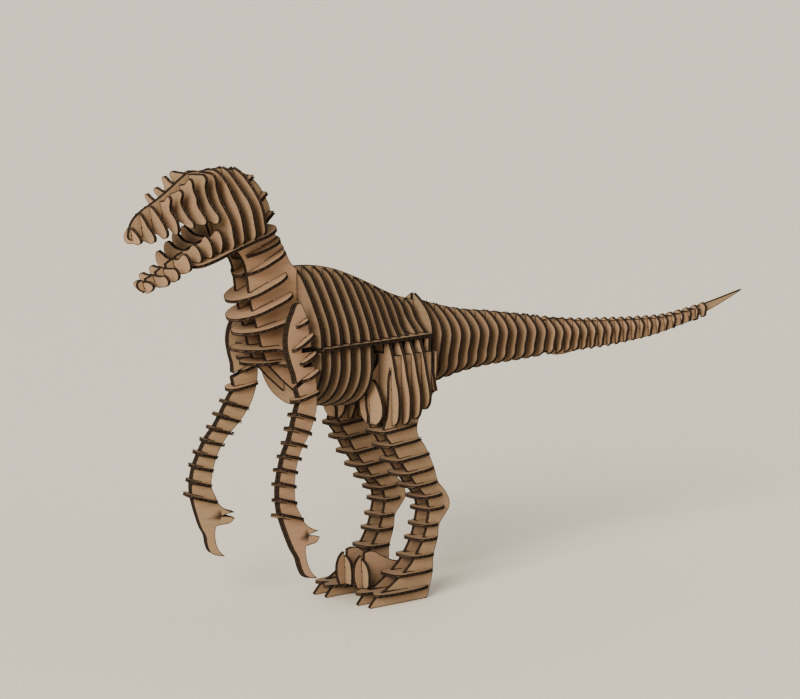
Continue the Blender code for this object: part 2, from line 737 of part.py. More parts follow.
# where each ring crosses the arm: front and rear ends, then its reach to the inner and outer side
ARM_RINGS = [
    ((-20, 79), (-3, 85), 0, 7), ((-29, 57), (3, 71), 0, 8), ((-20, 43), (4, 53), 0, 8),
    ((-18, 27), (5, 36), 5, 8), ((-31, 9), (4, 15), 6, 7), ((-37, -1.5), (-4, -12), 5, 6),
    ((-44, -14), (-12, -25), 5, 6), ((-50, -27), (-20, -36), 5, 6), ((-57, -39), (-30, -46.5), 5, 6),
    ((-64, -51), (-37, -58.5), 5, 6), ((-68, -64), (-41, -71.5), 5, 6), ((-70, -79), (-42, -87), 5, 6),
    ((-72, -93), (-35, -104), 7, 7),
]


def arm_frame(side):
    toe_in = Matrix.Rotation(math.radians(-side * ARM_TOE_IN), 4, "Z")
    splay = Matrix.Rotation(math.radians(side * ARM_SPLAY), 4, "X")
    x, y, z = ARM_ORIGIN
    return Matrix.Translation(Vector((x, side * y, z)) * MM) @ toe_in @ splay


def arm_slot(name, side):
    """The slot in a shoulder disc for one arm, open to the front."""
    z = NECK_DISCS[name][1]
    local = arm_frame(side).inverted() @ Vector((0, side * ARM_ORIGIN[1] * MM, z * MM))
    size = Vector((90, ARM_BOARD + 2 * GAP + 0.5, 12)) * MM
    centre = Matrix.Translation(((SHOULDER_LAP - 45) * MM, 0, local.z))
    return arm_frame(side) @ centre @ Matrix.Diagonal((*size, 1.0))


def shoulder_slots(side):
    """The slots in an arm for the shoulder discs, open to the rear."""
    boxes = []
    for name in SHOULDER_DISCS:
        z = NECK_DISCS[name][1] - ARM_ORIGIN[2]
        level = Matrix.Rotation(math.radians(-side * ARM_SPLAY), 4, "X")
        along = SHOULDER_LAP + 45 - GAP
        height = z / math.cos(math.radians(ARM_SPLAY))
        boxes.append(box((along, 0, height), (90, 14, SLOT), level))
    return boxes


def arm_ring(name, ends, inner, outer, side, group, material):
    """A short board across the arm, square to the arm's own board."""
    (u0, w0), (u1, w1) = ends
    length = math.hypot(u1 - u0, w1 - w0)
    turn = Matrix.Rotation(-math.atan2(w1 - w0, u1 - u0), 4, "Y")
    placement = Matrix.Translation(Vector(((u0 + u1) / 2, 0, (w0 + w1) / 2)) * MM) @ turn
    half = length / 2
    near = ARM_BOARD / 2 + outer
    far = ARM_BOARD / 2 + inner if inner else 0.0
    points = [(-half, 0), (-half * 0.8, near * 0.75), (0, near), (half * 0.8, near * 0.75), (half, 0)]
    points += [(half * 0.8, -far * 0.75), (0, -far), (-half * 0.8, -far * 0.75)]
    if not inner:
        points = points[:5]
        points[0] = corner(*points[0])
        points[4] = corner(*points[4])
    outline = [(point[0], side * point[1], *point[2:]) for point in points]
    return add_board(name, outline, placement, group, material, helper=True)


def add_arm(side_name, side, root, material):
    group = add_group(side_name + "_arm_group", parent=root)
    group.matrix_basis = arm_frame(side)
    outline = ARM_OUTLINE + [corner(*ARM_TIP)] + ARM_HAND + ARM_REAR
    name = side_name + "_arm"
    arm = add_board(name, outline, SIDE_PLANE, group, material, thickness=ARM_BOARD)
    rings = []
    for i, (front, rear, inner, outer) in enumerate(ARM_RINGS):
        ring_name = f"{name}_ring_{i + 1:02d}"
        rings.append(arm_ring(ring_name, (front, rear), inner, outer, side, group, material))
    join_boards(arm, rings)
    cut_slots(arm, shoulder_slots(side))


# ---------------------------------------------------------------- legs

THIGH_FRONT = {
    "inner": [
        corner(-52, THIGH_TOP_Z - 2), (-52.5, 241), (-57, 235), (-61.5, 228), (-62.5, 221), corner(-66, 215),
        (-66.5, 200), (-64, 188), (-60, 176),
    ],
    "outer": [
        corner(-50, THIGH_TOP_Z - 2), (-50.5, 238), (-53, 228), (-54, 205), (-56, 188), (-60, 176),
    ],
}
SHANK_FRONT = [
    (-50, 161), (-40, 145), (-28, 130), (-15, 114), (-4, 102), (0, 90),
    (-2, 78), (-6, 64), (-14, 50), (-26, 36), (-42, 25), (-60, 15),
]
SHANK_TOE = [(-68, 12), corner(-79, 2), corner(-78, 0)]
SHANK_REAR = [
    (0, 9), (5, 26), (6, 42), (12, 60), (14, 73), (21, 81), (28, 91), (24, 103), (12, 117), (7, 131),
    (-5, 154), (-16, 170), (-10, 190), (7, 209), (10, 230),
]
# height, forward reach and rear end of each leg ring, and its rise to the rear in degrees
LEG_RINGS = [
    (176, -66, -18, 5), (161, -58, -12, 5), (145, -48, -1, 5), (130, -37, 5, 5), (116, -25, 9, 4),
    (103, -13, 16, 3), (90, -7, 19, 2), (74, -10, 10, 0), (60, -15, 9, 0), (44, -26, 5, 0), (28, -46, 3, 0),
]
# reach and lowest point of each thigh rib, and where it laps with the leg boards
LEAVES = {6: (45, 181), 7: (54, 180), 8: (55.5, 180), 9: (56, 184), 10: (55, 192), 11: (49, 205)}
LEAF_LAP_Z = 216.0
FRONT_LEAF = 6


def thigh_tab_xs():
    """Middles of the belt tabs: between the eighth and ninth ribs, and the tenth and eleventh."""
    ribs = rib_xs()
    return [(ribs[7] + ribs[8]) / 2, (ribs[9] + ribs[10]) / 2]


def shank_outline(layer):
    """One leg board from thigh to toe. The inner one hooks into the belt."""
    top = THIGH_TOP_Z - 2
    points = []
    if layer == "inner":
        for x in thigh_tab_xs():
            left, right = x - TAB_WIDTH / 2, x + TAB_WIDTH / 2
            points += [corner(left, top), corner(left, BELT_Z + 4), corner(right, BELT_Z + 4)]
            points += [corner(right, top + 0.2)]
    points += [corner(10, top)] + list(reversed(SHANK_REAR)) + [corner(-3, 0)]
    points += list(reversed(SHANK_TOE)) + list(reversed(SHANK_FRONT))
    return points + list(reversed(THIGH_FRONT[layer]))


def front_leaf_outline():
    """The foremost thigh rib: an almond that covers the inner leg board."""
    points = [(31, 225), (38, 216), (43, 206), (45, 197), (43, 188), corner(36, 181), corner(20, 181)]
    return points + [(13, 189), (10.8, 198), (11.5, 208), (17, 219), (24, 224)]


def leaf_outline(index):
    """A thigh rib: straight inside, bulging outside, its outer part reaching up to the belt."""
    if index == FRONT_LEAF:
        return front_leaf_outline()
    reach, bottom = LEAVES[index]
    top = THIGH_TOP_Z
    inner = 10.8
    points = [corner(inner, top - 6), corner(15, top), corner(31.7, top - 0.2)]
    points += [corner(31.6, BELT_Z - 2), corner(39, BELT_Z - 2.2)]
    points += [(reach - 9.5, top - 4), (reach - 4.5, top - 24), (reach - 0.5, top - 39)]
    points += [(reach, (top - 39 + bottom) / 2 + 1), (reach - 2.5, bottom + 4), corner(reach - 7, bottom)]
    return points + [corner(inner + 6, bottom), corner(inner, bottom + 12)]


def ring_plan(front, rear):
    """Plan of a leg ring around both leg boards, rounded in front."""
    low, high = SHANK_Y[0] - 7, SHANK_Y[1] + 7
    middle = (low + high) / 2
    length = rear - front
    points = [(front + 3, low + 2), (front, middle - 6), (front, middle + 6), (front + 3, high - 2)]
    points += [(front + 0.4 * length, high), (rear - 0.25 * length, high), corner(rear, high - 3)]
    return points + [corner(rear, low + 3), (rear - 0.25 * length, low), (front + 0.4 * length, low)]


def signed(points, side):
    """A plan or section with its sideways values turned to one side of the body."""
    return [(point[0], side * point[1], *point[2:]) for point in points]


def ring_centre(front, rear):
    return (front + rear) / 2


def tilted_box(ring, side, y, thickness, width, forward):
    """A slot box in a ring's plane, from the ring's middle to its front or its rear."""
    height, front, rear, tilt = ring
    middle = ring_centre(front, rear)
    low, high = (-60, 0) if forward else (-GAP, 60)
    frame = Matrix.Translation(Vector((middle, side * y, height)) * MM)
    frame = frame @ Matrix.Rotation(math.radians(-tilt), 4, "Y")
    frame = frame @ Matrix.Translation(((low + high) / 2 * MM, 0, 0))
    return frame @ Matrix.Diagonal((*(Vector((high - low, width, thickness)) * MM), 1.0))


def add_outer_leg(side_name, side, group, material):
    inner_y, outer_y = SHANK_Y
    placement = at(SIDE_PLANE, (0, side * outer_y, 0))
    leg = add_board(side_name + "_leg_outer", shank_outline("outer"), placement, group, material)
    rings = []
    for i, (height, front, rear, tilt) in enumerate(LEG_RINGS):
        middle = ring_centre(front, rear)
        plan = signed(ring_plan(front - middle, rear - middle), side)
        turn = Matrix.Rotation(math.radians(-tilt), 4, "Y")
        frame = Matrix.Translation(Vector((middle, 0, height)) * MM) @ turn
        name = f"{side_name}_leg_ring_{i + 1:02d}"
        rings.append(add_board(name, plan, frame, group, material, helper=True))
    join_boards(leg, rings)
    boxes = [tilted_box(ring, side, inner_y, 8, SLOT, False) for ring in LEG_RINGS]
    for index in LEAVES:
        if index != FRONT_LEAF:
            x = rib_xs()[index]
            low = (x - SLOT / 2, side * (outer_y - 3), LEAF_LAP_Z - GAP)
            boxes.append(span_box(low, (x + SLOT / 2, side * (outer_y + 3), THIGH_TOP_Z + 10)))
    boxes.append(sole_slot(side * outer_y, True))
    cut_slots(leg, boxes)


def add_inner_leg(side_name, side, group, material):
    inner_y, outer_y = SHANK_Y
    placement = at(SIDE_PLANE, (0, side * inner_y, 0))
    leg = add_board(side_name + "_leg_inner", shank_outline("inner"), placement, group, material)
    leaves = []
    for index in LEAVES:
        outline = signed_section(leaf_outline(index), side)
        name = f"{side_name}_thigh_rib_{index + 1:02d}"
        placement = at(CROSS_PLANE, (rib_xs()[index], 0, 0))
        leaves.append(add_board(name, outline, placement, group, material, helper=True))
    join_boards(leg, leaves)
    boxes = [tilted_box(ring, side, inner_y, SLOT, 8, True) for ring in LEG_RINGS]
    for index, (_, bottom) in LEAVES.items():
        if index != FRONT_LEAF:
            x = rib_xs()[index]
            low = (x - 4, side * outer_y - SLOT / 2, bottom - 10)
            boxes.append(span_box(low, (x + 4, side * outer_y + SLOT / 2, LEAF_LAP_Z)))
    boxes.append(sole_slot(side * inner_y, True))
    cut_slots(leg, boxes)


def signed_section(points, side):
    return [(side * point[0], *point[1:]) for point in points]


SOLE_LAP_X = -30.0


def sole_slot(y, in_leg):
    """Leg boards are slotted from the toes, the sole from the heel."""
    if in_leg:
        return span_box((-90, y - 4, SOLE_Z - SLOT / 2), (SOLE_LAP_X, y + 4, SOLE_Z + SLOT / 2))
    return span_box((SOLE_LAP_X - GAP, y - SLOT / 2, SOLE_Z - 4), (30, y + SLOT / 2, SOLE_Z + 4))


def add_sole(side_name, side, group, material):
    plan = [
        (-66, 11), (-70, 16), (-79, 22), (-79, 27), corner(-66, 33), (-72, 40), (-74, 45), (-66, 50),
        (-50, 52), (-20, 51), (-4, 46), corner(2, 40), corner(2, 20), (-10, 11), (-30, 8), (-52, 8),
    ]
    name = side_name + "_sole"
    sole = add_board(name, signed(plan, side), at(FLAT_PLANE, (0, 0, SOLE_Z)), group, material)
    boxes = [sole_slot(side * y, False) for y in SHANK_Y]
    y = side * CLAW_Y
    boxes.append(span_box((-40 - GAP, y - SLOT / 2, SOLE_Z - 4), (-28 + GAP, y + SLOT / 2, SOLE_Z + 4)))
    cut_slots(sole, boxes)


def add_claw(side_name, side, group, material):
    """The raised sickle toe: a rounded plate on the foot's inner side with an arched cross board."""
    floor = SOLE_Z + BOARD / 2 + GAP
    outline = [corner(-70, floor), (-74, 26), (-71, 42), (-61, 49), (-50, 50), (-38, 44), (-22, 37)]
    outline += [corner(-8, 34), corner(-8, floor + 0.4), corner(-28, floor + 0.2), corner(-28, SOLE_Z - 3)]
    outline += [corner(-40, SOLE_Z - 3), corner(-40, floor)]
    placement = at(SIDE_PLANE, (0, side * CLAW_Y, 0))
    claw = add_board(side_name + "_claw", outline, placement, group, material)
    arch = [corner(1.5, floor + 0.4), (1.5, 30), (5, 39), (12, 43), (20, 39), (24.5, 30)]
    arch += [corner(24.5, 17), corner(21.5, floor + 0.4)]
    placement = at(CROSS_PLANE, (-62.5, 0, 0))
    name = side_name + "_claw_arch"
    join_boards(claw, [add_board(name, signed_section(arch, side), placement, group, material, helper=True)])


def add_leg(side_name, side, root, material):
    group = add_group(side_name + "_leg_group", parent=root)
    add_outer_leg(side_name, side, group, material)
    add_inner_leg(side_name, side, group, material)
    add_sole(side_name, side, group, material)
    add_claw(side_name, side, group, material)


# ---------------------------------------------------------------- the whole model


def main():
    root = add_group("raptor", (HIPS_TO_CENTRE_X, 0, 0))
    add_spine(root, board_material("spine_board", 0.95))
    add_ribs(root, board_material("rib_board", 0.85))
    add_rings(root, board_material("ring_board", 0.9))
    add_belts(root, board_material("belt_board", 1.0))
    add_neck(root, board_material("neck_board", 1.0))
    tail = add_group("tail_tip_group", (FIRST_TIP_RING_X, 0, 240), parent=root)
    tail.matrix_basis = Matrix.Identity(4)
    add_tail_tip(tail, board_material("tail_board", 0.95))
    add_head(root, board_material("skull_board", 1.05))
    for side_name, side in SIDES.items():
        add_arm(side_name, side, root, board_material(side_name + "_arm_board", 1.0))
        add_leg(side_name, side, root, board_material(side_name + "_leg_board", 0.95))


clear_scene()
PARTS = new_collection("cardboard_raptor")
CUTTERS = new_collection("slot_cutters")
main()
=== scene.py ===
"""Visual model of the corrugated cardboard raptor: every board is built from two paper liners and
a fluted middle, with laser-burnt edges, and slots into its neighbours.

Lengths are in millimetres in the body's own frame until a board is placed. The animal faces -X
and its left side is -Y.
"""

import math

import bpy
import numpy as np
from mathutils import Matrix, Vector
from mathutils.geometry import convex_hull_2d, delaunay_2d_cdt


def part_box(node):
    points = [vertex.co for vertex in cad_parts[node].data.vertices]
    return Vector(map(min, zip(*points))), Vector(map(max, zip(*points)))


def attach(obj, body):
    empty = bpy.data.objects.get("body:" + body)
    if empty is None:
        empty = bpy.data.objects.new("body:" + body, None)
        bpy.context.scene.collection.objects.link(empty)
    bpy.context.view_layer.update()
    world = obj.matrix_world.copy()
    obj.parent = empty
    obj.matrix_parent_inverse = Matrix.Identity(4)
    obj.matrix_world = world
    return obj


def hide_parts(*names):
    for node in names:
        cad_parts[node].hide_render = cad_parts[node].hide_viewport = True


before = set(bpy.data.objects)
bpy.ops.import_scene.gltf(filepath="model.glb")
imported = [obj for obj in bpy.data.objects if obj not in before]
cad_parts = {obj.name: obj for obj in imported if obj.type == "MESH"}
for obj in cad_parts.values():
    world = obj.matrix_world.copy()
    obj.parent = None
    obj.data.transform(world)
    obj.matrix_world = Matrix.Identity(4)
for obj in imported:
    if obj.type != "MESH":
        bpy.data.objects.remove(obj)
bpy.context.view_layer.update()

MM = 0.001
BOARD = 3.0
GAP = 0.3
SLOT = BOARD + 2 * GAP
TAB_WIDTH = 8.0
REACH = 4.0  # how far a slot box goes either way from a board's middle plane
THROUGH = 2 * REACH  # width of a slot box that cuts one board
LINER = 0.4  # paper thickness of each face
MEDIUM = 0.28  # paper thickness of the fluted middle
FLUTE_PITCH = 6.3
FLUTE_STEPS = 8
RIM = 1.15  # width of the scorched margin on each face
CURVE_STEPS = 4
HANDLE_FACTOR = 2.5614  # a smooth handle is the step beside it divided by this
TINY = 1e-9
MITRE_LIMIT = 0.7  # keeps an inset corner from running far inside the board
LEAST_AREA = 2.0  # square millimetres; smaller scraps fall away
FACE, CUT, INSIDE = 0, 1, 2  # the papers of a board, in the order of its material slots

RIB_PITCH = 13.33
FIRST_RIB_X = -142.0
SHOULDER_X = FIRST_RIB_X - 4  # where the spine and the belts start
RIB_COUNT = 12
FIRST_HIP_RIB = 6
RING_PITCH = 14.2
FIRST_RING_X = 18.0
RING_COUNT = 13
TIP_RING_PITCH = 12.7
TIP_RING_COUNT = 20
FIRST_TIP_RING_X = 202.6
TAIL_END_X = 510.0
CHEEK_END_X = 428.0

BELT_Z = 264.0
BELT_INNER_Y = 14.0
THIGH_TOP_Z = 251.0
NECK_Y = 10.0
SKULL_ORIGIN = (-222.0, 0.0, 369.0)
SKULL_PITCH = 15.8
SKULL_RIB_PITCH = 13.0
FIRST_SKULL_RIB = 27.5
SHANK_Y = (24.0, 42.0)
CLAW_Y = 13.0
SOLE_Z = 12.0
ARM_ORIGIN = (-152.0, 47.0, 210.0)
ARM_TOE_IN = 8.0
ARM_SPLAY = 7.0
ARM_BOARD = 2 * BOARD + GAP

SIDES = {"left": -1, "right": 1}

SIDE_PLANE = Matrix(((1, 0, 0, 0), (0, 0, -1, 0), (0, 1, 0, 0), (0, 0, 0, 1)))
CROSS_PLANE = Matrix(((0, 0, 1, 0), (1, 0, 0, 0), (0, 1, 0, 0), (0, 0, 0, 1)))
FLAT_PLANE = Matrix.Identity(4)
# The body's own x = 0 lies between the hips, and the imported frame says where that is.
HIPS_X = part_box("body_rib_01")[0].x + (BOARD / 2 - FIRST_RIB_X) * MM
ROOT = Matrix.Translation((HIPS_X, 0, 0))


# ---------------------------------------------------------------- outlines in the plane


def corner(u, v):
    return (u, v, "VECTOR")


def mirrored(half):
    other = [(-point[0], *point[1:]) for point in reversed(half) if abs(point[0]) > 1e-6]
    return half + other


def handle_offset(before, here, after, kind, forward):
    """Where a smooth or a sharp knot's handle lies, from the knot."""
    back_step = here - before
    front_step = after - here
    if kind == "VECTOR":
        return front_step / 3 if forward else -back_step / 3
    back_length = np.linalg.norm(back_step) or 1.0
    front_length = np.linalg.norm(front_step) or 1.0
    direction = front_step / front_length + back_step / back_length
    length = np.linalg.norm(direction) * HANDLE_FACTOR
    if length < TINY:
        return direction * 0.0
    reach = front_length if forward else -back_length
    return direction * reach / length


def sampled(outline):
    """The outline as a closed ring of points, with its smooth stretches rounded off."""
    knots = [np.array(point[:2], float) for point in outline]
    kinds = [point[2] if len(point) > 2 else "AUTO" for point in outline]
    count = len(knots)
    points = []
    for i in range(count):
        j = (i + 1) % count
        start, end = knots[i], knots[j]
        out = start + handle_offset(knots[i - 1], start, end, kinds[i], True)
        into = end + handle_offset(start, end, knots[(j + 1) % count], kinds[j], False)
        straight = kinds[i] == "VECTOR" and kinds[j] == "VECTOR"
        steps = 1 if straight else CURVE_STEPS
        for k in range(steps):
            t = k / steps
            s = 1 - t
            points.append(s**3 * start + 3 * s * s * t * out + 3 * s * t * t * into + t**3 * end)
    return points


# ---------------------------------------------------------------- corrugated board meshes


def ring_area(ring):
    x, y = ring[:, 0], ring[:, 1]
    return 0.5 * float(np.dot(x, np.roll(y, -1)) - np.dot(y, np.roll(x, -1)))


def triangulate(solids, holes, edges_of=()):
    """Triangles inside the solid loops and outside the holes, kept to the extra line segments."""
    points = []
    faces = []
    for loop in [*solids, *holes]:
        ring = np.array(loop, float)
        faces.append(list(range(len(points), len(points) + len(ring))))
        points += [Vector(p) for p in (ring if ring_area(ring) > 0 else ring[::-1])]
    edges = []
    for a, b in edges_of:
        edges.append((len(points), len(points) + 1))
        points += [Vector(a), Vector(b)]
    found = delaunay_2d_cdt(points, edges, faces, 1, 1e-5, True)
    coords = np.array([tuple(p) for p in found[0]])
    inside = [f for f, ids in zip(found[2], found[5]) if ids and max(ids) < len(solids)]
    used, triangles = np.unique(inside, return_inverse=True)
    return coords[used], triangles.reshape(-1, 3)


def boundary_edges(triangles):
    """Edges that only one triangle has, each in that triangle's direction."""
    directed = {}
    for a, b, c in triangles.tolist():
        for edge in ((a, b), (b, c), (c, a)):
            directed[edge] = True
    return [edge for edge in directed if (edge[1], edge[0]) not in directed]


def chained(edges):
    """The boundary edges as closed rings of vertex numbers."""
    following = {}
    for a, b in edges:
        following.setdefault(a, []).append(b)
    rings = []
    while following:
        start = next(iter(following))
        ring = [start]
        while True:
            nexts = following[ring[-1]]
            step = nexts.pop()
            if not nexts:
                del following[ring[-1]]
            if step == start:
                break
            ring.append(step)
        rings.append(ring)
    return rings


def cut_region(outline, holes):
    """The board's true boundary once its slots are cut: the rings around paper, then those around windows."""
    coords, triangles = triangulate([sampled(outline)], holes)
    rings = [coords[ring] for ring in chained(boundary_edges(triangles))]
    solids = [ring for ring in rings if ring_area(ring) > LEAST_AREA]
    return solids, [ring for ring in rings if ring_area(ring) < -LEAST_AREA]


def inset_segments(ring, distance):
    """The ring drawn again a little way inside the board."""
    before = ring - np.roll(ring, 1, axis=0)
    after = np.roll(ring, -1, axis=0) - ring
    before /= np.maximum(np.linalg.norm(before, axis=1, keepdims=True), TINY)
    after /= np.maximum(np.linalg.norm(after, axis=1, keepdims=True), TINY)
    normals = np.stack([-(before + after)[:, 1], (before + after)[:, 0]], axis=1)
    size = np.linalg.norm(normals, axis=1, keepdims=True)
    normals /= np.maximum(size, MITRE_LIMIT)
    moved = ring + normals * distance
    return list(zip(moved, np.roll(moved, -1, axis=0)))


def flute_lines(solids):
    """Straight lines along the flutes, a fraction of a pitch apart."""
    step = FLUTE_PITCH / FLUTE_STEPS
    low, high = np.vstack(solids).min(0) - 1, np.vstack(solids).max(0) + 1
    first, last = math.ceil(low[0] / step), math.floor(high[0] / step)
    return [((k * step, low[1]), (k * step, high[1])) for k in range(first, last + 1)]


def edge_distance(points, rings):
    """Each point's distance to the nearest cut edge."""
    nearest = np.full(len(points), 1e9)
    for ring in rings:
        spans = np.roll(ring, -1, axis=0) - ring
        squares = np.maximum((spans**2).sum(1), TINY**2)
        for start, span, square in zip(ring, spans, squares):
            t = np.clip(((points - start) @ span) / square, 0, 1)
            nearest = np.minimum(nearest, np.linalg.norm(points - start - t[:, None] * span, axis=1))
    return nearest


def thick_sheet(coords, triangles, heights, thickness, scorch, papers):
    """A paper sheet over the triangles: top, bottom and the cut edge between them."""
    count = len(coords)
    top = np.column_stack([coords, heights + thickness / 2])
    bottom = np.column_stack([coords, heights - thickness / 2])
    faces = [tuple(f) for f in triangles.tolist()]
    faces += [(c + count, b + count, a + count) for a, b, c in triangles.tolist()]
    faces += [(a, a + count, b + count, b) for a, b in boundary_edges(triangles)]
    kinds = [papers[0]] * len(triangles) + [papers[1]] * len(triangles)
    kinds += [CUT] * (len(faces) - len(kinds))
    return np.vstack([top, bottom]), faces, kinds, np.concatenate([scorch, scorch])


def flute_heights(x, swing):
    """The middle paper's height over the board, a wave drawn with straight facets."""
    step = FLUTE_PITCH / FLUTE_STEPS
    k = np.floor(x / step)
    low = swing * np.cos(2 * math.pi * k / FLUTE_STEPS)
    high = swing * np.cos(2 * math.pi * (k + 1) / FLUTE_STEPS)
    return low + (high - low) * (x / step - k)


def board_mesh(name, outline, holes, thickness):
    """Two liners and a fluted middle, all cut to the same outline."""
    solids, windows = cut_region(outline, holes)
    rings = solids + windows
    rims = [segment for ring in rings for segment in inset_segments(ring, RIM)]
    coords, triangles = triangulate(solids, windows, rims)
    scorch = np.clip(1 - edge_distance(coords, rings) / RIM, 0, 1)
    level = np.full(len(coords), thickness / 2 - LINER / 2)
    parts = [
        thick_sheet(coords, triangles, level, LINER, scorch, (FACE, INSIDE)),
        thick_sheet(coords, triangles, -level, LINER, scorch, (INSIDE, FACE)),
    ]
    coords, triangles = triangulate(solids, windows, rims + flute_lines(solids))
    scorch = np.clip(1 - edge_distance(coords, rings) / RIM, 0, 1)
    swing = thickness / 2 - LINER - MEDIUM / 2 - 0.01
    wave = flute_heights(coords[:, 0], swing)
    parts.append(thick_sheet(coords, triangles, wave, MEDIUM, scorch, (INSIDE, INSIDE)))
    return joined_mesh(name, parts)


def joined_mesh(name, parts):
    vertices, faces, kinds, burns = [], [], [], []
    for points, part_faces, part_kinds, scorch in parts:
        start = sum(len(v) for v in vertices)
        vertices.append(points * MM)
        faces += [tuple(i + start for i in face) for face in part_faces]
        kinds += part_kinds
        burns.append(scorch)
    mesh = bpy.data.meshes.new(name)
    mesh.from_pydata(np.vstack(vertices).tolist(), [], faces)
    mesh.polygons.foreach_set("material_index", kinds)
    mesh.attributes.new("scorch", "FLOAT", "POINT").data.foreach_set("value", np.concatenate(burns))
    return mesh


def sized(*size):
    """A unit cube's matrix at this size."""
    return Matrix.Diagonal((*(Vector(size) * MM), 1.0))


def shift(*offset):
    return Matrix.Translation(Vector(offset) * MM)


def box(centre, size, turn=None):
    return shift(*centre) @ (turn or Matrix.Identity(4)) @ sized(*size)


def span_box(low, high):
    low, high = Vector(low), Vector(high)
    lows = Vector(map(min, low, high))
    highs = Vector(map(max, low, high))
    return box((lows + highs) / 2, highs - lows)


def slot_across(x, y, low, high):
    """A slot box for a cross board at x, through a lengthwise board at y."""
    return span_box((x - SLOT / 2, y - REACH, low), (x + SLOT / 2, y + REACH, high))


def slot_along(x, y, low, high):
    """A slot box for a lengthwise board at y, through a cross board at x."""
    return span_box((x - REACH, y - SLOT / 2, low), (x + REACH, y + SLOT / 2, high))


def tab_window(x, y, z):
    """The box of a level board's window for an upright board's tab."""
    half = TAB_WIDTH / 2 + GAP
    return span_box((x - half, y - SLOT / 2, z - REACH), (x + half, y + SLOT / 2, z + REACH))


def box_section(placement, slot_box):
    """Where a slot box crosses a board's middle plane, in the board's own millimetres."""
    local = placement.inverted() @ slot_box
    signs = [(i, j, k) for i in (-0.5, 0.5) for j in (-0.5, 0.5) for k in (-0.5, 0.5)]
    ends = [local @ Vector(sign) for sign in signs]
    crossings = []
    for a in range(8):
        for b in range(a + 1, 8):
            apart = sum(x != y for x, y in zip(signs[a], signs[b]))
            if apart == 1 and ends[a].z * ends[b].z < 0:
                point = ends[a].lerp(ends[b], ends[a].z / (ends[a].z - ends[b].z))
                crossings.append(point.xy / MM)
    order = convex_hull_2d(crossings) if len(crossings) > 2 else []
    return [tuple(crossings[i]) for i in order]


# ---------------------------------------------------------------- placing boards

PAPERS = {}
PIECES = []


def add_board(name, outline, placement, group, node, boxes=(), thickness=BOARD, turned=False):
    """One board: cut to shape, placed in its group, riding its body and standing for its node.

    The flutes run along the board's height, or across it where turned is set.
    """
    matrix, body, paper = group
    if turned:
        outline = [(point[1], -point[0], *point[2:]) for point in outline]
        placement = placement @ Matrix.Rotation(math.pi / 2, 4, "Z")
    holes = [hole for hole in (box_section(placement, slot_box) for slot_box in boxes) if hole]
    mesh = board_mesh(name, outline, holes, thickness)
    mark_sheet(mesh, len(PIECES))
    for material in PAPERS[paper]:
        mesh.materials.append(material)
    piece = bpy.data.objects.new(name, mesh)
    bpy.context.scene.collection.objects.link(piece)
    world = matrix @ placement
    mesh.transform(world.to_3x3().to_4x4())
    piece.location = world.translation
    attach(piece, body)
    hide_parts(node)
    PIECES.append(piece)
    return piece


def mark_sheet(mesh, number):
    """Stores where each point was cut from the sheet, so that no two boards share their grain."""
    places = np.empty(len(mesh.vertices) * 3)
    mesh.vertices.foreach_get("co", places)
    shift = [FLUTE_PITCH * MM * (37 * number % 101), 0.11 * (number * 7 % 23), 0.31 * (number * 5 % 13)]
    places = places.reshape(-1, 3) + shift
    mesh.attributes.new("sheet", "FLOAT_VECTOR", "POINT").data.foreach_set("vector", places.ravel())
    tone = np.full(len(mesh.vertices), (number * 0.618034) % 1.0)
    mesh.attributes.new("tone", "FLOAT", "POINT").data.foreach_set("value", tone)


def add_cross_board(name, outline, x, group, node, boxes):
    """An upright board that stands across the body at x."""
    add_board(name, outline, at(CROSS_PLANE, (x, 0, 0)), group, node, boxes, turned=True)


def at(plane, offset):
    return shift(*offset) @ plane


def tipped(offset, degrees):
    """A frame at the offset, tipped up towards the rear."""
    return at(Matrix.Rotation(math.radians(-degrees), 4, "Y"), offset)


# ---------------------------------------------------------------- the body's lines


def interpolate(stations, x):
    """A line through (x, value) stations, level beyond its ends."""
    if x <= stations[0][0]:
        return stations[0][1]
    for (x0, v0), (x1, v1) in zip(stations, stations[1:]):
        if x <= x1:
            return v0 + (v1 - v0) * (x - x0) / (x1 - x0)
    return stations[-1][1]


BACK_LINE = [
    (-146, 342), (-120, 341), (-92, 336), (-66, 327), (-40, 316), (-13, 304), (10, 297), (34, 292),
    (61, 284), (92, 278), (118, 275), (148, 270), (174, 266), (196, 262), (219, 258), (255, 254),
    (323, 249), (362, 247), (385, 247), (416, 250), (440, 253), (TAIL_END_X, 265),
]
BELLY_LINE = [
    (-146, 207), (-110, 201), (-60, 197), (-20, 200), (18, 206), (55, 211), (78, 215), (110, 218),
    (164, 219), (196, 220), (285, 219), (323, 221), (362, 224), (401, 230), (436, 236), (449, 239),
    (481, 249), (TAIL_END_X, 260),
]
SPINE_DEPTH = [(-146, 56), (-60, 60), (10, 62), (40, 72), (61, 66)]
RIB_HALF_WIDTH = [(-142, 47), (-115, 44), (-75, 43), (-35, 40), (-9, 38), (6, 37)]
RING_HALF_WIDTH = [
    (18, 29), (61, 26), (118, 21.5), (148, 19), (203, 17.5), (255, 14), (323, 11), (385, 8.5), (450, 6),
]


def back(x):
    return interpolate(BACK_LINE, x)


def belly(x):
    return interpolate(BELLY_LINE, x)


def rib_half_width(x):
    return interpolate(RIB_HALF_WIDTH, x)


def spine_bottom(x):
    """The spine's lower edge: a deep band in the body, the full depth in the tail."""
    return max(back(x) - interpolate(SPINE_DEPTH, x), belly(x) + 3.0)


def lap_height(x):
    """Where a rib's slot meets the spine's slot."""
    return (back(x) + spine_bottom(x)) / 2


def rib_xs():
    return [FIRST_RIB_X + RIB_PITCH * i for i in range(RIB_COUNT)]


def ring_xs():
    return [FIRST_RING_X + RING_PITCH * i for i in range(RING_COUNT)]


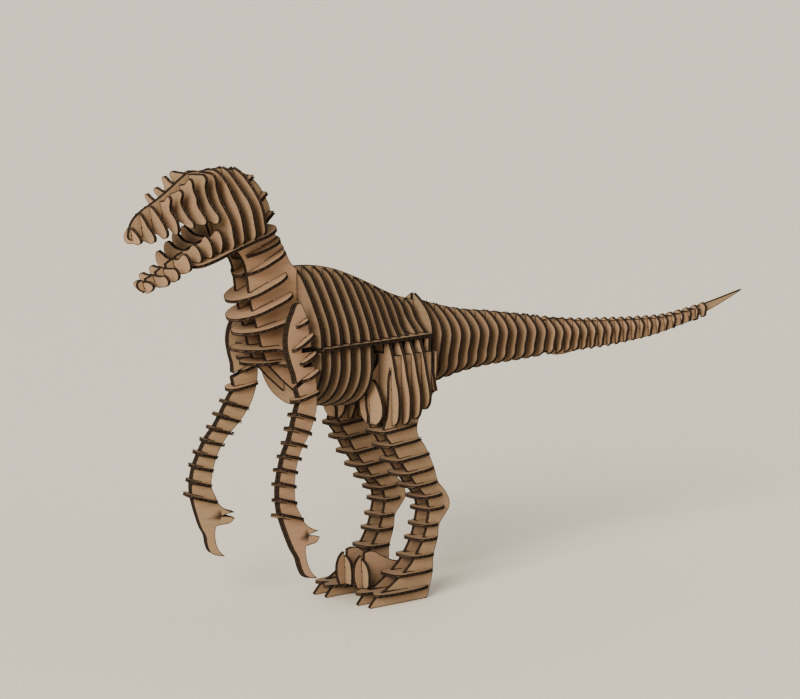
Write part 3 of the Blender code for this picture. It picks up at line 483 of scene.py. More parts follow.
def tip_ring_xs():
    return [FIRST_TIP_RING_X + TIP_RING_PITCH * i for i in range(TIP_RING_COUNT)]


# ---------------------------------------------------------------- body


def rib_outline(width, top, bottom):
    height = top - bottom
    shape = [
        (0.30, 0.055), (0.52, 0.15), (0.74, 0.27), (0.96, 0.43), (1.0, 0.58),
        (0.98, 0.75), (0.72, 0.90), (0.30, 0.98),
    ]
    half = [corner(0, top)]
    half += [(width * u, top - height * v) for u, v in shape]
    return mirrored(half + [(0, bottom)])


def hip_rib_outline(width, top, bottom):
    height = 134.0
    shape = [(0.30, 0.055), (0.52, 0.15), (0.74, 0.27), (0.95, 0.42)]
    half = [corner(0, top)]
    half += [(width * u, top - height * v) for u, v in shape if top - height * v > BELT_Z + 6]
    half += [corner(width, BELT_Z), corner(31, BELT_Z - 0.2), corner(31.1, THIGH_TOP_Z + 0.5)]
    half += [corner(9, THIGH_TOP_Z + 0.7)]
    half += [corner(9, bottom + 10), (5, bottom + 2)]
    return mirrored(half + [(0, bottom)])


def ring_outline(width, top, bottom):
    height = top - bottom
    shape = [(0.62, 0.14), (1.0, 0.33), (0.96, 0.52), (0.86, 0.66), (0.80, 0.82), (0.45, 0.94)]
    half = [corner(0, top)]
    half += [(width * u, top - height * v) for u, v in shape]
    return mirrored(half + [(0, bottom)])


def tongue_span():
    start = ring_xs()[-1] + 4
    return (start, start + 56, 234.0, 246.0)


def spine_outline():
    top_xs = [-120, -92, -66, -40, -13, 10, 40, 75, 110, 148]
    bottom_xs = [148, 110, 75, 48, 30, 10, -13, -40, -66, -92, -120]
    tongue = tongue_span()
    points = [corner(SHOULDER_X, back(SHOULDER_X))]
    points += [(x, back(x)) for x in top_xs]
    points += [corner(tongue[0], back(tongue[0]) - 1), corner(tongue[0], tongue[3])]
    points += [corner(tongue[1], tongue[3]), corner(tongue[1], tongue[2])]
    points += [corner(tongue[0], tongue[2]), corner(tongue[0], spine_bottom(tongue[0]))]
    points += [(x, spine_bottom(x)) for x in bottom_xs]
    return points + [corner(SHOULDER_X, spine_bottom(SHOULDER_X))]


def add_spine():
    """The long back plate, its slots open below."""
    boxes = []
    for x in rib_xs() + ring_xs():
        low = spine_bottom(x) - 12
        boxes.append(slot_across(x, 0, low, lap_height(x)))
    add_board("spine_board", spine_outline(), SIDE_PLANE, (ROOT, "body", "spine_board"), "spine_plate", boxes)


def belt_lap(x):
    return (BELT_INNER_Y + rib_half_width(x)) / 2


def add_ribs():
    """The body's cross boards, slotted over the spine and into the belts."""
    group = (ROOT, "body", "rib_board")
    for i, x in enumerate(rib_xs()):
        width = rib_half_width(x)
        shape = hip_rib_outline if i >= FIRST_HIP_RIB else rib_outline
        outline = shape(width, back(x) + 0.5, belly(x))
        middle = lap_height(x) - GAP
        boxes = [slot_along(x, 0, middle, back(x) + 12)]
        for side in (-1, 1):
            inner = (x - REACH, side * (belt_lap(x) - GAP), BELT_Z - SLOT / 2)
            boxes.append(span_box(inner, (x + REACH, side * (width + 12), BELT_Z + SLOT / 2)))
        if i == 0:
            boxes += neck_tenons(GAP)
        name = f"rib_{i + 1:02d}_board"
        node = f"body_rib_{i + 1:02d}"
        add_cross_board(name, outline, x, group, node, boxes)


def add_rings():
    """The tail's cross boards; the first has a higher crest."""
    group = (ROOT, "body", "ring_board")
    for i, x in enumerate(ring_xs()):
        width = interpolate(RING_HALF_WIDTH, x)
        crest = 8.0 if i == 0 else 2.0
        outline = ring_outline(width, back(x) + crest, belly(x))
        boxes = [slot_along(x, 0, lap_height(x) - GAP, back(x) + 20)]
        node = f"tail_ring_{i + 1:02d}"
        add_cross_board(node + "_board", outline, x, group, node, boxes)


def add_belts():
    """Two level plates that clip the ribs together from the sides and carry the legs."""
    xs = [-138, -115, -75, -35, -9]
    rear_x = rib_xs()[-1] + 5
    inner_x = FIRST_RIB_X + SLOT / 2 - 0.5
    lap = belt_lap(FIRST_RIB_X)
    for side_name, side in SIDES.items():
        outline = [corner(inner_x, side * BELT_INNER_Y), corner(inner_x, side * (lap - 0.6))]
        outline += [corner(SHOULDER_X, side * (lap - 0.4)), (SHOULDER_X + 2, side * 45)]
        outline += [(x, side * (rib_half_width(x) + 2)) for x in xs]
        outline += [corner(rear_x, side * (rib_half_width(rear_x) + 1))]
        outline += [corner(rear_x, side * BELT_INNER_Y)]
        boxes = []
        for x in rib_xs():
            inner = (x - SLOT / 2, side * (BELT_INNER_Y - 6), BELT_Z - REACH)
            boxes.append(span_box(inner, (x + SLOT / 2, side * belt_lap(x), BELT_Z + REACH)))
        boxes += [tab_window(x, side * SHANK_Y[0], BELT_Z) for x in thigh_tab_xs()]
        group = (ROOT, "body", "belt_board")
        placement = at(FLAT_PLANE, (0, 0, BELT_Z))
        add_board(f"belt_{side_name}_board", outline, placement, group, "belt_" + side_name, boxes)


# ---------------------------------------------------------------- tail end


def tip_outline(end):
    start = ring_xs()[-1] + 5
    top_xs = [x for x in (FIRST_TIP_RING_X, 255, 323, 385, 440) if x < end]
    bottom_xs = [x for x in (481, 455, 436, 401, 362, 323, 255, FIRST_TIP_RING_X) if x < end]
    points = [corner(start, 232), corner(start, back(start) - 6)]
    points += [(x, back(x) - 2) for x in top_xs]
    points += [corner(end, back(end) - 2), corner(end, min(belly(end) + 3, back(end) - 2.5))]
    points += [(x, belly(x) + 3) for x in bottom_xs]
    return points


def tip_lap(x):
    """Where the tail end's rings, open below, meet its boards' slots, open above."""
    middle = (back(x) + belly(x)) / 2
    end, high = tongue_span()[1], tongue_span()[3]
    return max(middle, high + GAP) if x < end + 4 else middle


def add_tail_end():
    """Two boards hold the spine's tongue between them; one runs on to the end of the tail."""
    group = (ROOT, "tail_end", "tail_board")
    y = BOARD + GAP
    for name, end, offset in (("tail_end_board", TAIL_END_X, y), ("tail_cheek_board", CHEEK_END_X, -y)):
        boxes = [slot_across(x, offset, tip_lap(x), back(x) + 12) for x in tip_ring_xs()]
        placement = at(SIDE_PLANE, (0, offset, 0))
        add_board(name, tip_outline(end), placement, group, "tail_tip", boxes)
    for i, x in enumerate(tip_ring_xs()):
        outline = ring_outline(interpolate(RING_HALF_WIDTH, x), back(x) + 1, belly(x))
        near = -y - SLOT / 2 if x < CHEEK_END_X else y - SLOT / 2
        high = (x + REACH, y + SLOT / 2, tip_lap(x) + GAP)
        boxes = [span_box((x - REACH, near, belly(x) - 12), high)]
        add_cross_board(f"tail_end_ring_{i + 1:02d}_board", outline, x, group, "tail_tip", boxes)


# ---------------------------------------------------------------- neck and chest

NECK_FRONT = [
    (-210, 352), (-206, 339), (-203, 319), (-199, 302), (-193, 284), (-188, 267), (-182, 253),
    (-170, 240), (-155, 227),
]
NECK_FRONT_BY_Z = sorted((z, x) for x, z in NECK_FRONT)
NECK_REAR = [(-152, 347), (-160, 362)]
NECK_TABS = (8.0, 21.0)
TENON_HEIGHTS = ((292, 310), (236, 252))


def skull_point(u, w):
    """Where a point beside the skull's base lies in the body's own frame."""
    point = tipped(SKULL_ORIGIN, SKULL_PITCH) @ Vector((u * MM, 0, w * MM)) / MM
    return (point.x, point.z)


def neck_outline():
    base = -BOARD / 2 - GAP
    points = [corner(*skull_point(-1, base))]
    for tab in NECK_TABS:
        left, right = tab - TAB_WIDTH / 2, tab + TAB_WIDTH / 2
        for u, w in ((left, base), (left, 6), (right, 6), (right, base)):
            points.append(corner(*skull_point(u, w)))
    rear_x = FIRST_RIB_X - BOARD / 2 - GAP
    points += [corner(*skull_point(48, base))] + list(reversed(NECK_REAR))
    points += [corner(rear_x, 340)]
    for low, high in TENON_HEIGHTS:
        points += [corner(rear_x, high), corner(rear_x + 7, high)]
        points += [corner(rear_x + 7, low), corner(rear_x, low)]
    points += [corner(rear_x, 218)]
    return points + list(reversed(NECK_FRONT))


def neck_tenons(play):
    boxes = []
    for y in (-NECK_Y, NECK_Y):
        for low, high in TENON_HEIGHTS:
            half = BOARD / 2 + play
            near = (FIRST_RIB_X - REACH, y - half, low - play)
            boxes.append(span_box(near, (FIRST_RIB_X + REACH, y + half, high + play)))
    return boxes


# name: centre x, centre z, tilt in degrees, front x, rear x, half width, wraps the front
NECK_DISCS = {
    "neck_disc_1": (-190, 362.5, 19.0, -212, -163, 22, False),
    "neck_disc_2": (-190, 346.5, 23.5, -211, -158, 23, False),
    "neck_disc_3": (-195, 322.5, 21.0, -219, -156, 24, True),
    "neck_disc_4": (-195, 303.0, 18.6, -217, -150, 25, True),
    "neck_disc_5": (-195, 284.8, 11.8, -211, -148, 25, True),
    "neck_disc_6": (-195, 266.0, 0.0, -212, -147, 26, True),
    "neck_disc_7": (-195, 252.0, 0.0, -203, -147, 21, True),
}
SHOULDER_DISCS = ("neck_disc_6", "neck_disc_7")
SHOULDER_LAP = -14.0
SLOT_RUN = 90.0  # length of a slot box, enough to run out past any board


def disc_frame(name):
    x, z, tilt = NECK_DISCS[name][:3]
    return tipped((x, 0, z), tilt)


def disc_outline(name):
    x, _, tilt, front, rear, width, _ = NECK_DISCS[name]
    stretch = 1 / math.cos(math.radians(tilt))
    front = (front - x) * stretch
    rear = (rear - x) * stretch
    half = [(0.0, front), (width * 0.55, front + 5), (width * 0.92, front + 17), (width, front + 30)]
    if name in SHOULDER_DISCS:
        half += [(width + 8, 12), corner(42, 18), corner(42, rear - 5.5), corner(38, rear)]
    else:
        half += [(width * 0.9, rear - 10), (width * 0.5, rear - 2)]
    half += [corner(0, rear) if name in SHOULDER_DISCS else (0, rear)]
    points = mirrored(half)
    return [(point[1], point[0], *point[2:]) for point in points]


def disc_lap_x(name):
    front, rear = NECK_DISCS[name][3:5]
    return (max(front, interpolate(NECK_FRONT_BY_Z, NECK_DISCS[name][1])) + rear) / 2


def disc_box(name, y, thickness, width, forward):
    centre_x, _, tilt, _, _, _, _ = NECK_DISCS[name]
    lap = (disc_lap_x(name) - centre_x) / math.cos(math.radians(tilt))
    low, high = (lap - SLOT_RUN, lap) if forward else (lap, lap + SLOT_RUN)
    return disc_frame(name) @ shift((low + high) / 2, y, 0) @ sized(high - low, width, thickness)


def disc_slot(name, y):
    return disc_box(name, y, SLOT, THROUGH, NECK_DISCS[name][6])


def plate_slot(name, y):
    wraps = NECK_DISCS[name][6]
    matrix = disc_box(name, y, THROUGH, SLOT, not wraps)
    play = GAP if wraps else -GAP
    return disc_frame(name) @ shift(-play, 0, 0) @ disc_frame(name).inverted() @ matrix


def add_neck():
    """Two upright plates, crossed by discs of which the lower two hold the arms."""
    group = (ROOT, "body", "neck_board")
    for side_name, side in SIDES.items():
        y = side * NECK_Y
        boxes = [disc_slot(name, y) for name in NECK_DISCS]
        name = f"neck_{side_name}_board"
        node = "neck_plate_" + side_name
        add_board(name, neck_outline(), at(SIDE_PLANE, (0, y, 0)), group, node, boxes, turned=True)
    for name in NECK_DISCS:
        boxes = [plate_slot(name, y) for y in (-NECK_Y, NECK_Y)]
        if name in SHOULDER_DISCS:
            boxes += [arm_slot(name, side) for side in (-1, 1)]
        add_board(name + "_board", disc_outline(name), disc_frame(name), group, name, boxes)


# ---------------------------------------------------------------- skull

BASE_TOP = BOARD / 2 + GAP
BACK_OF_SKULL = {
    1: [(0, 69), (11, 64), (21, 54), (28, 43), (32, 32), (32, 17), (27, BASE_TOP)],
    2: [(0, 74), (10, 70), (19, 60), (26, 50), (33, 39), (34, 22), (28, BASE_TOP)],
    3: [(0, 76), (12, 73), (22, 63), (27, 50), (32, 36), (32, 19), (26, BASE_TOP)],
    4: [(0, 77), (12, 77), (23, 74), (22.5, 62), (24, 49), (28, 41), (32, 31), (32, 18), (27, BASE_TOP)],
}
UPPER_JAW = {
    5: [(0, 79), (14, 80), (27, 78), (23, 67), (24, 54), (29, 46), (34, 39), (29, 32), (14, 35), (0, 35.3)],
    6: [(0, 73), (10, 74.5), (21, 80), (22, 69), (24, 61), (23, 55), (28, 46), (31, 39), (24, 35), (0, 38.6)],
    7: [(0, 68), (9, 71), (21, 72.5), (16, 61), (22, 48), (28, 41), (26, 37), (19, 37), (10, 41), (0, 42)],
    8: [(0, 66), (9, 67.5), (18, 72), (15, 58), (20, 50), (20, 39), (16, 34), (11, 35), (6, 40), (0, 41)],
    9: [(0, 66.5), (5, 65.5), (10, 61), (15, 54), (19, 46), (19.5, 39), (13, 34.5), (6, 38), (0, 39.4)],
    10: [(0, 64.5), (3, 63.5), (7, 59), (11, 51), (16, 44), (16.5, 38), (10, 34.5), (0, 36)],
    11: [(0, 56), (6, 51), (11, 46), (12.5, 41), (9, 38), (0, 38.5)],
}
LOWER_JAW = {
    5: [(0, 17), (14, 19), (24, 25.5), (29, 24), (31, 16), (27, 6), corner(24, BASE_TOP), (0, BASE_TOP)],
    6: [(0, 15), (13, 17), (22, 24), (27, 22), (30, 13), (28, 5), corner(25, BASE_TOP), (0, BASE_TOP)],
    7: [(0, 12.5), (11, 15), (19, 20), (24, 18), (28, 10), (26, 4), corner(22, BASE_TOP), (0, BASE_TOP)],
    8: [(0, 9), (9, 9.5), (16, 14), (21, 15), (26, 6), (24, 0), (17, -4), (0, -6)],
    9: [(0, 4), (12, 5), (19, 5), (22, -1), (17, -7), (0, -9)],
    10: [(0, 2.3), (11, 2), (18, 3), (22, -1), (20, -6), (10, -9), (0, -10)],
    11: [(0, 0.3), (7, 1), (12, 0), (15, -3), (12, -7), (5, -10.5), (0, -11.5)],
}
SKULL_PROFILE = [
    (-106, 51), (-100, 59), (-88, 64.5), (-73, 67.5), (-60, 70.5), (-48, 74), (-36, 78), (-24, 80.5),
    (-10, 77.5), (0, 75.5), (11, 73), (23, 67.5), (36, 60), (49, 47), (57, 28), (59, 12), (55, 5),
]
SKULL_TABS = (21.0, -5.0)  # along the skull's base, between its ribs
SKULL_RIBS = range(1, 12)  # from the nape to the snout
LAST_NAMED_SKULL_RIB = 8  # the snout's ribs beyond it belong to the middle board's node


def skull_rib_x(number):
    return FIRST_SKULL_RIB - SKULL_RIB_PITCH * (number - 1)


def skull_lap(number):
    points = UPPER_JAW[number] if number in UPPER_JAW else BACK_OF_SKULL[number]
    return (points[0][1] + points[-1][1]) / 2


def skull_plate_outline():
    outline = list(SKULL_PROFILE) + [corner(54, BASE_TOP + 0.3)]
    for tab in SKULL_TABS:
        low = -BOARD / 2 - 2.5
        outline += [corner(tab + 4, BASE_TOP + 0.1), corner(tab + 4, low), corner(tab - 4, low)]
        outline += [corner(tab - 4, BASE_TOP)]
    outline += [corner(-16, BASE_TOP + 0.3), (-17, 20), (-21, 32), (-38, 38), (-60, 41), (-94, 41.5)]
    return outline + [(-105, 42), (-108, 46)]


# the three rungs down the nape: place along and above the skull's base, and their outward tilt
NAPE_RUNGS = ((44.3, 52.3, 24), (56, 31, 27), (58.6, 10.6, 25))
RUNG_INSET = 5.5
RUNG_LENGTH = 14.0
RUNG_HALF_WIDTH = 7.5
RUNG_SLOT_RUN = 30.0


def rung_placement(rung):
    u, w, turn = rung
    return tipped((u - RUNG_INSET, 0, w - 2), turn)


def rung_slot(rung, thickness, width, inward):
    """The half of a rung that a slot takes up: the skull plate's outer half, or the rung's inner one."""
    low, high = (-RUNG_SLOT_RUN, GAP) if inward else (0, RUNG_SLOT_RUN)
    return rung_placement(rung) @ shift((low + high) / 2, 0, 0) @ sized(high - low, width, thickness)


def add_skull(group):
    """The middle board, the rungs at the nape and the cross boards from nape to snout."""
    boxes = [rung_slot(rung, SLOT, THROUGH, False) for rung in NAPE_RUNGS]
    for number in SKULL_RIBS:
        x = skull_rib_x(number)
        low = 28 if number in UPPER_JAW else -6
        boxes.append(slot_across(x, 0, low, skull_lap(number)))
    add_board("skull_middle_board", skull_plate_outline(), SIDE_PLANE, group, "skull_plate", boxes)
    for i, rung in enumerate(NAPE_RUNGS):
        half, across = RUNG_LENGTH / 2, RUNG_HALF_WIDTH
        outline = [corner(-half, -across), corner(half, -across), corner(half, across)]
        outline += [corner(-half, across)]
        slot_box = rung_slot(rung, THROUGH, SLOT, True)
        add_board(f"nape_rung_{i + 1}", outline, rung_placement(rung), group, "skull_plate", [slot_box])
    for number in SKULL_RIBS:
        x = skull_rib_x(number)
        points = UPPER_JAW[number] if number in UPPER_JAW else [*BACK_OF_SKULL[number], (0, BASE_TOP)]
        boxes = [slot_along(x, 0, skull_lap(number) - GAP, 100)]
        name = f"skull_rib_{number:02d}"
        node = name if number <= LAST_NAMED_SKULL_RIB else "skull_plate"
        add_cross_board(name + "_board", skull_rib_outline(points), x, group, node, boxes)


def skull_rib_outline(points):
    """A rib of the skull or the jaw from its right half, pointed where the half starts and ends."""
    half = [corner(*points[0])] + list(points[1:-1]) + [corner(*points[-1])]
    return mirrored(half)


def add_skull_base(group):
    half = [(-59, 16), (-55, 28), (-46, 31), (-20, 30), (10, 29), (30, 29.5), (44, 24), (52, 12)]
    outline = half + [(53, 0)] + [(u, -v) for u, v in reversed(half)] + [(-60.5, 0)]
    boxes = [tab_window(tab, y, 0) for tab in NECK_TABS for y in (-NECK_Y, NECK_Y)]
    boxes += [tab_window(tab, 0, 0) for tab in SKULL_TABS]
    add_board("skull_base_board", outline, FLAT_PLANE, group, "skull_base", boxes)


def jaw_lap(number):
    points = LOWER_JAW[number]
    return (points[0][1] + points[-1][1]) / 2


def add_jaw(group):
    """The lower jaw's middle board, slotted from above, and its ribs, slotted from below."""
    outline = [corner(-17.6, 14.5), (-38, 13.5), (-52, 11.5), (-64, 10), (-81, 6), (-98, 2.6), (-106, 3)]
    outline += [(-111, 0), (-105, -9), (-85, -8), corner(-63, -5), corner(-63, BASE_TOP)]
    outline.append(corner(-17.6, BASE_TOP))
    boxes = [slot_across(skull_rib_x(number), 0, jaw_lap(number), 40) for number in LOWER_JAW]
    add_board("jaw_middle_board", outline, SIDE_PLANE, group, "jaw_plate", boxes)
    for number, points in LOWER_JAW.items():
        x = skull_rib_x(number)
        boxes = [slot_along(x, 0, -30, jaw_lap(number) + GAP)]
        outline = skull_rib_outline(points)
        add_cross_board(f"jaw_rib_{number:02d}_board", outline, x, group, "jaw_plate", boxes)


def add_head():
    group = (ROOT @ tipped(SKULL_ORIGIN, SKULL_PITCH), "head", "skull_board")
    add_skull_base(group)
    add_skull(group)
    add_jaw(group)


# ---------------------------------------------------------------- arms

ARM_OUTLINE = [
    (-11, 102), (-22, 92), (-31, 77), (-34, 62), (-31, 46), (-27, 34), (-26, 20), (-24, 10), (-28, 3),
    (-34, -9), (-43, -26), (-52, -38), (-58, -50), (-63, -62), (-66, -76), (-66, -90), (-63, -102),
    (-58, -116), (-52, -130), (-47, -138), (-44, -149), (-39, -157),
]
ARM_TIP = (-23, -162)
ARM_HAND = [
    (-31, -154), (-35, -144), (-36, -134), corner(-35, -129), (-28, -128.5), (-19, -127.5),
    corner(-14, -123), (-22, -120.4), corner(-30, -119.5), (-22, -117.6), corner(-14.5, -117),
    (-24, -113.5), (-33, -107), (-38, -98),
]
ARM_REAR = [
    (-43, -88), (-43, -74), (-40, -60), (-34, -46), (-27, -36), (-18, -27), (-10, -17), (-4, -7), (0, 4),
    (2, 16), (2, 30), (1, 46), (0, 62), (-2, 80), (-5, 94),
]
# where each ring crosses the arm: front and rear ends, then its reach to the inner and outer side
ARM_RINGS = [
    ((-20, 79), (-3, 85), 0, 7), ((-29, 57), (3, 71), 0, 8), ((-20, 43), (4, 53), 0, 8),
    ((-18, 27), (5, 36), 5, 8), ((-31, 9), (4, 15), 6, 7), ((-37, -1.5), (-4, -12), 5, 6),
    ((-44, -14), (-12, -25), 5, 6), ((-50, -27), (-20, -36), 5, 6), ((-57, -39), (-30, -46.5), 5, 6),
    ((-64, -51), (-37, -58.5), 5, 6), ((-68, -64), (-41, -71.5), 5, 6), ((-70, -79), (-42, -87), 5, 6),
    ((-72, -93), (-35, -104), 7, 7),
]


def arm_frame(side):
    toe_in = Matrix.Rotation(math.radians(-side * ARM_TOE_IN), 4, "Z")
    splay = Matrix.Rotation(math.radians(side * ARM_SPLAY), 4, "X")
    x, y, z = ARM_ORIGIN
    return shift(x, side * y, z) @ toe_in @ splay


def arm_slot(name, side):
    """The slot in a shoulder disc for one arm, open to the front."""
    z = NECK_DISCS[name][1]
    local = arm_frame(side).inverted() @ Vector((0, side * ARM_ORIGIN[1] * MM, z * MM))
    centre = Matrix.Translation(((SHOULDER_LAP - SLOT_RUN / 2) * MM, 0, local.z))
    return arm_frame(side) @ centre @ sized(SLOT_RUN, ARM_BOARD + 2 * GAP + 0.5, 12)


def shoulder_slots(side):
    """The slots in an arm for the shoulder discs, open to the rear."""
    boxes = []
    for name in SHOULDER_DISCS:
        z = NECK_DISCS[name][1] - ARM_ORIGIN[2]
        level = Matrix.Rotation(math.radians(-side * ARM_SPLAY), 4, "X")
        along = SHOULDER_LAP + SLOT_RUN / 2 - GAP
        height = z / math.cos(math.radians(ARM_SPLAY))
        boxes.append(box((along, 0, height), (SLOT_RUN, 14, SLOT), level))
    return boxes


def ring_frame(ends):
    (u0, w0), (u1, w1) = ends
    turn = Matrix.Rotation(-math.atan2(w1 - w0, u1 - u0), 4, "Y")
    return shift((u0 + u1) / 2, 0, (w0 + w1) / 2) @ turn


RING_SLOT_RUN = 60.0


def half_slot(frame_at, y, thickness, width, forward):
    """A slot that runs from a cross board's middle out past its front or its rear."""
    low, high = (-RING_SLOT_RUN, 0) if forward else (-GAP, RING_SLOT_RUN)
    return frame_at @ shift((low + high) / 2, y, 0) @ sized(high - low, width, thickness)


THROUGH_ARM = 20.0  # width of a slot box that cuts both arm boards
LEAF_SHIFT = 3.0  # how far behind its middle an upper arm leaf has its tab


def arm_slot_box(ring, frame_at):
    """The slot that a cross board needs in the arm: open in front, or a window for a leaf's tab."""
    if ring[2]:
        return half_slot(frame_at, 0, SLOT, THROUGH_ARM, True)
    return frame_at @ shift(LEAF_SHIFT, 0, 0) @ sized(TAB_WIDTH + 2 * GAP, THROUGH_ARM, SLOT)


def arm_ring_outline(length, inner, outer, side):
    half = length / 2
    near = ARM_BOARD / 2 + outer
    far = ARM_BOARD / 2 + inner
    points = [(-half, 0), (-half * 0.8, near * 0.75), (0, near), (half * 0.8, near * 0.75), (half, 0)]
    if inner:
        points += [(half * 0.8, -far * 0.75), (0, -far), (-half * 0.8, -far * 0.75)]
    else:
        face, tab = far + GAP, TAB_WIDTH / 2
        points = [corner(-half, face)] + points[1:4] + [corner(half, face)]
        points += [corner(LEAF_SHIFT + tab, face), corner(LEAF_SHIFT + tab, GAP)]
        points += [corner(LEAF_SHIFT - tab, GAP), corner(LEAF_SHIFT - tab, face)]
    return [(point[0], side * point[1], *point[2:]) for point in points]


def add_arm(side_name, side):
    """Two boards side by side, crossed by small boards that are leaves at the shoulder."""
    group = (ROOT @ arm_frame(side), side_name + "_arm_body", "arm_board")
    node = side_name + "_arm"
    outline = ARM_OUTLINE + [corner(*ARM_TIP)] + ARM_HAND + ARM_REAR
    ring_frames = [ring_frame(ring[:2]) for ring in ARM_RINGS]
    boxes = [arm_slot_box(ring, frame_at) for ring, frame_at in zip(ARM_RINGS, ring_frames)]
    boxes += shoulder_slots(side)
    for layer, y in (("inner", -1), ("outer", 1)):
        offset = side * y * (BOARD + GAP) / 2
        name = f"{side_name}_arm_{layer}_board"
        add_board(name, outline, at(SIDE_PLANE, (0, offset, 0)), group, node, boxes, turned=True)
    for i, (start, end, inner, outer) in enumerate(ARM_RINGS):
        length = math.hypot(end[0] - start[0], end[1] - start[1])
        shape = arm_ring_outline(length, inner, outer, side)
        slots = [half_slot(ring_frames[i], 0, THROUGH, ARM_BOARD + 2 * GAP, False)] if inner else []
        name = f"{side_name}_arm_ring_{i + 1:02d}"
        add_board(name, shape, ring_frames[i], group, node, slots)


# ---------------------------------------------------------------- legs

THIGH_FRONT = {
    "inner": [
        corner(-52, THIGH_TOP_Z - 2), (-52.5, 241), (-57, 235), (-61.5, 228), (-62.5, 221), corner(-66, 215),
        (-66.5, 200), (-64, 188), (-60, 176),
    ],
    "outer": [
        corner(-50, THIGH_TOP_Z - 2), (-50.5, 238), (-53, 228), (-54, 205), (-56, 188), (-60, 176),
    ],
}
SHANK_FRONT = [
    (-50, 161), (-40, 145), (-28, 130), (-15, 114), (-4, 102), (0, 90),
    (-2, 78), (-6, 64), (-14, 50), (-26, 36), (-42, 25), (-60, 15),
]
SHANK_TOE = [(-68, 12), corner(-79, 2), corner(-78, 0)]
SHANK_REAR = [
    (0, 9), (5, 26), (6, 42), (12, 60), (14, 73), (21, 81), (28, 91), (24, 103), (12, 117), (7, 131),
    (-5, 154), (-16, 170), (-10, 190), (7, 209), (10, 230),
]
# height, forward reach and rear end of each leg ring, and its rise to the rear in degrees
LEG_RINGS = [
    (176, -66, -18, 5), (161, -58, -12, 5), (145, -48, -1, 5), (130, -37, 5, 5), (116, -25, 9, 4),
    (103, -13, 16, 3), (90, -7, 19, 2), (74, -10, 10, 0), (60, -15, 9, 0), (44, -26, 5, 0), (28, -46, 3, 0),
]
# reach and lowest point of each thigh rib, and where it laps with the leg boards
LEAVES = {6: (45, 181), 7: (54, 180), 8: (55.5, 180), 9: (56, 184), 10: (55, 192), 11: (49, 205)}
LEAF_LAP_Z = 216.0
FRONT_LEAF = 6
FRONT_LEAF_LAP_Z = 200.0


def thigh_tab_xs():
    """Middles of the belt tabs: between the eighth and ninth ribs, and the tenth and eleventh."""
    ribs = rib_xs()
    return [(ribs[7] + ribs[8]) / 2, (ribs[9] + ribs[10]) / 2]


def shank_outline(layer):
    """One leg board from thigh to toe. The inner one hooks into the belt."""
    top = THIGH_TOP_Z - 2
    points = []
    if layer == "inner":
        for x in thigh_tab_xs():
            left, right = x - TAB_WIDTH / 2, x + TAB_WIDTH / 2
            points += [corner(left, top), corner(left, BELT_Z + 4), corner(right, BELT_Z + 4)]
            points += [corner(right, top + 0.2)]
    points += [corner(10, top)] + list(reversed(SHANK_REAR)) + [corner(-3, 0)]
    points += list(reversed(SHANK_TOE)) + list(reversed(SHANK_FRONT))
    return points + list(reversed(THIGH_FRONT[layer]))


def front_leaf_outline():
    """The foremost thigh rib: an almond that covers the inner leg board."""
    points = [(31, 225), (38, 216), (43, 206), (45, 197), (43, 188), corner(36, 181), corner(20, 181)]
    return points + [(13, 189), (10.8, 198), (11.5, 208), (17, 219), (24, 224)]


def leaf_outline(index):
    """A thigh rib: straight inside, bulging outside, its outer part reaching up to the belt."""
    if index == FRONT_LEAF:
        return front_leaf_outline()
    reach, bottom = LEAVES[index]
    top = THIGH_TOP_Z
    inner = 10.8
    points = [corner(inner, top - 6), corner(15, top), corner(31.7, top - 0.2)]
    points += [corner(31.6, BELT_Z - 2), corner(39, BELT_Z - 2.2)]
    points += [(reach - 9.5, top - 4), (reach - 4.5, top - 24), (reach - 0.5, top - 39)]
    points += [(reach, (top - 39 + bottom) / 2 + 1), (reach - 2.5, bottom + 4), corner(reach - 7, bottom)]
    return points + [corner(inner + 6, bottom), corner(inner, bottom + 12)]


def leaf_lap(index):
    return FRONT_LEAF_LAP_Z if index == FRONT_LEAF else LEAF_LAP_Z


def boards_of_leaf(index):
    """Sideways places of the leg boards that a thigh rib crosses."""
    return SHANK_Y[:1] if index == FRONT_LEAF else SHANK_Y


def ring_plan(front, rear):
    """Plan of a leg ring around both leg boards, rounded in front."""
    low, high = SHANK_Y[0] - 7, SHANK_Y[1] + 7
    middle = (low + high) / 2
    length = rear - front
    points = [(front + 3, low + 2), (front, middle - 6), (front, middle + 6), (front + 3, high - 2)]
    points += [(front + 0.4 * length, high), (rear - 0.25 * length, high), corner(rear, high - 3)]
    return points + [corner(rear, low + 3), (rear - 0.25 * length, low), (front + 0.4 * length, low)]


def signed(points, side):
    return [(point[0], side * point[1], *point[2:]) for point in points]


def signed_section(points, side):
    return [(side * point[0], *point[1:]) for point in points]


SOLE_LAP_X = -30.0


def sole_slot(y, in_leg):
    if in_leg:
        high = (SOLE_LAP_X, y + REACH, SOLE_Z + SLOT / 2)
        return span_box((-90, y - REACH, SOLE_Z - SLOT / 2), high)
    high = (30, y + SLOT / 2, SOLE_Z + REACH)
    return span_box((SOLE_LAP_X - GAP, y - SLOT / 2, SOLE_Z - REACH), high)


def leg_ring_frame(ring):
    height, front, rear, tilt = ring
    return tipped(((front + rear) / 2, 0, height), tilt)


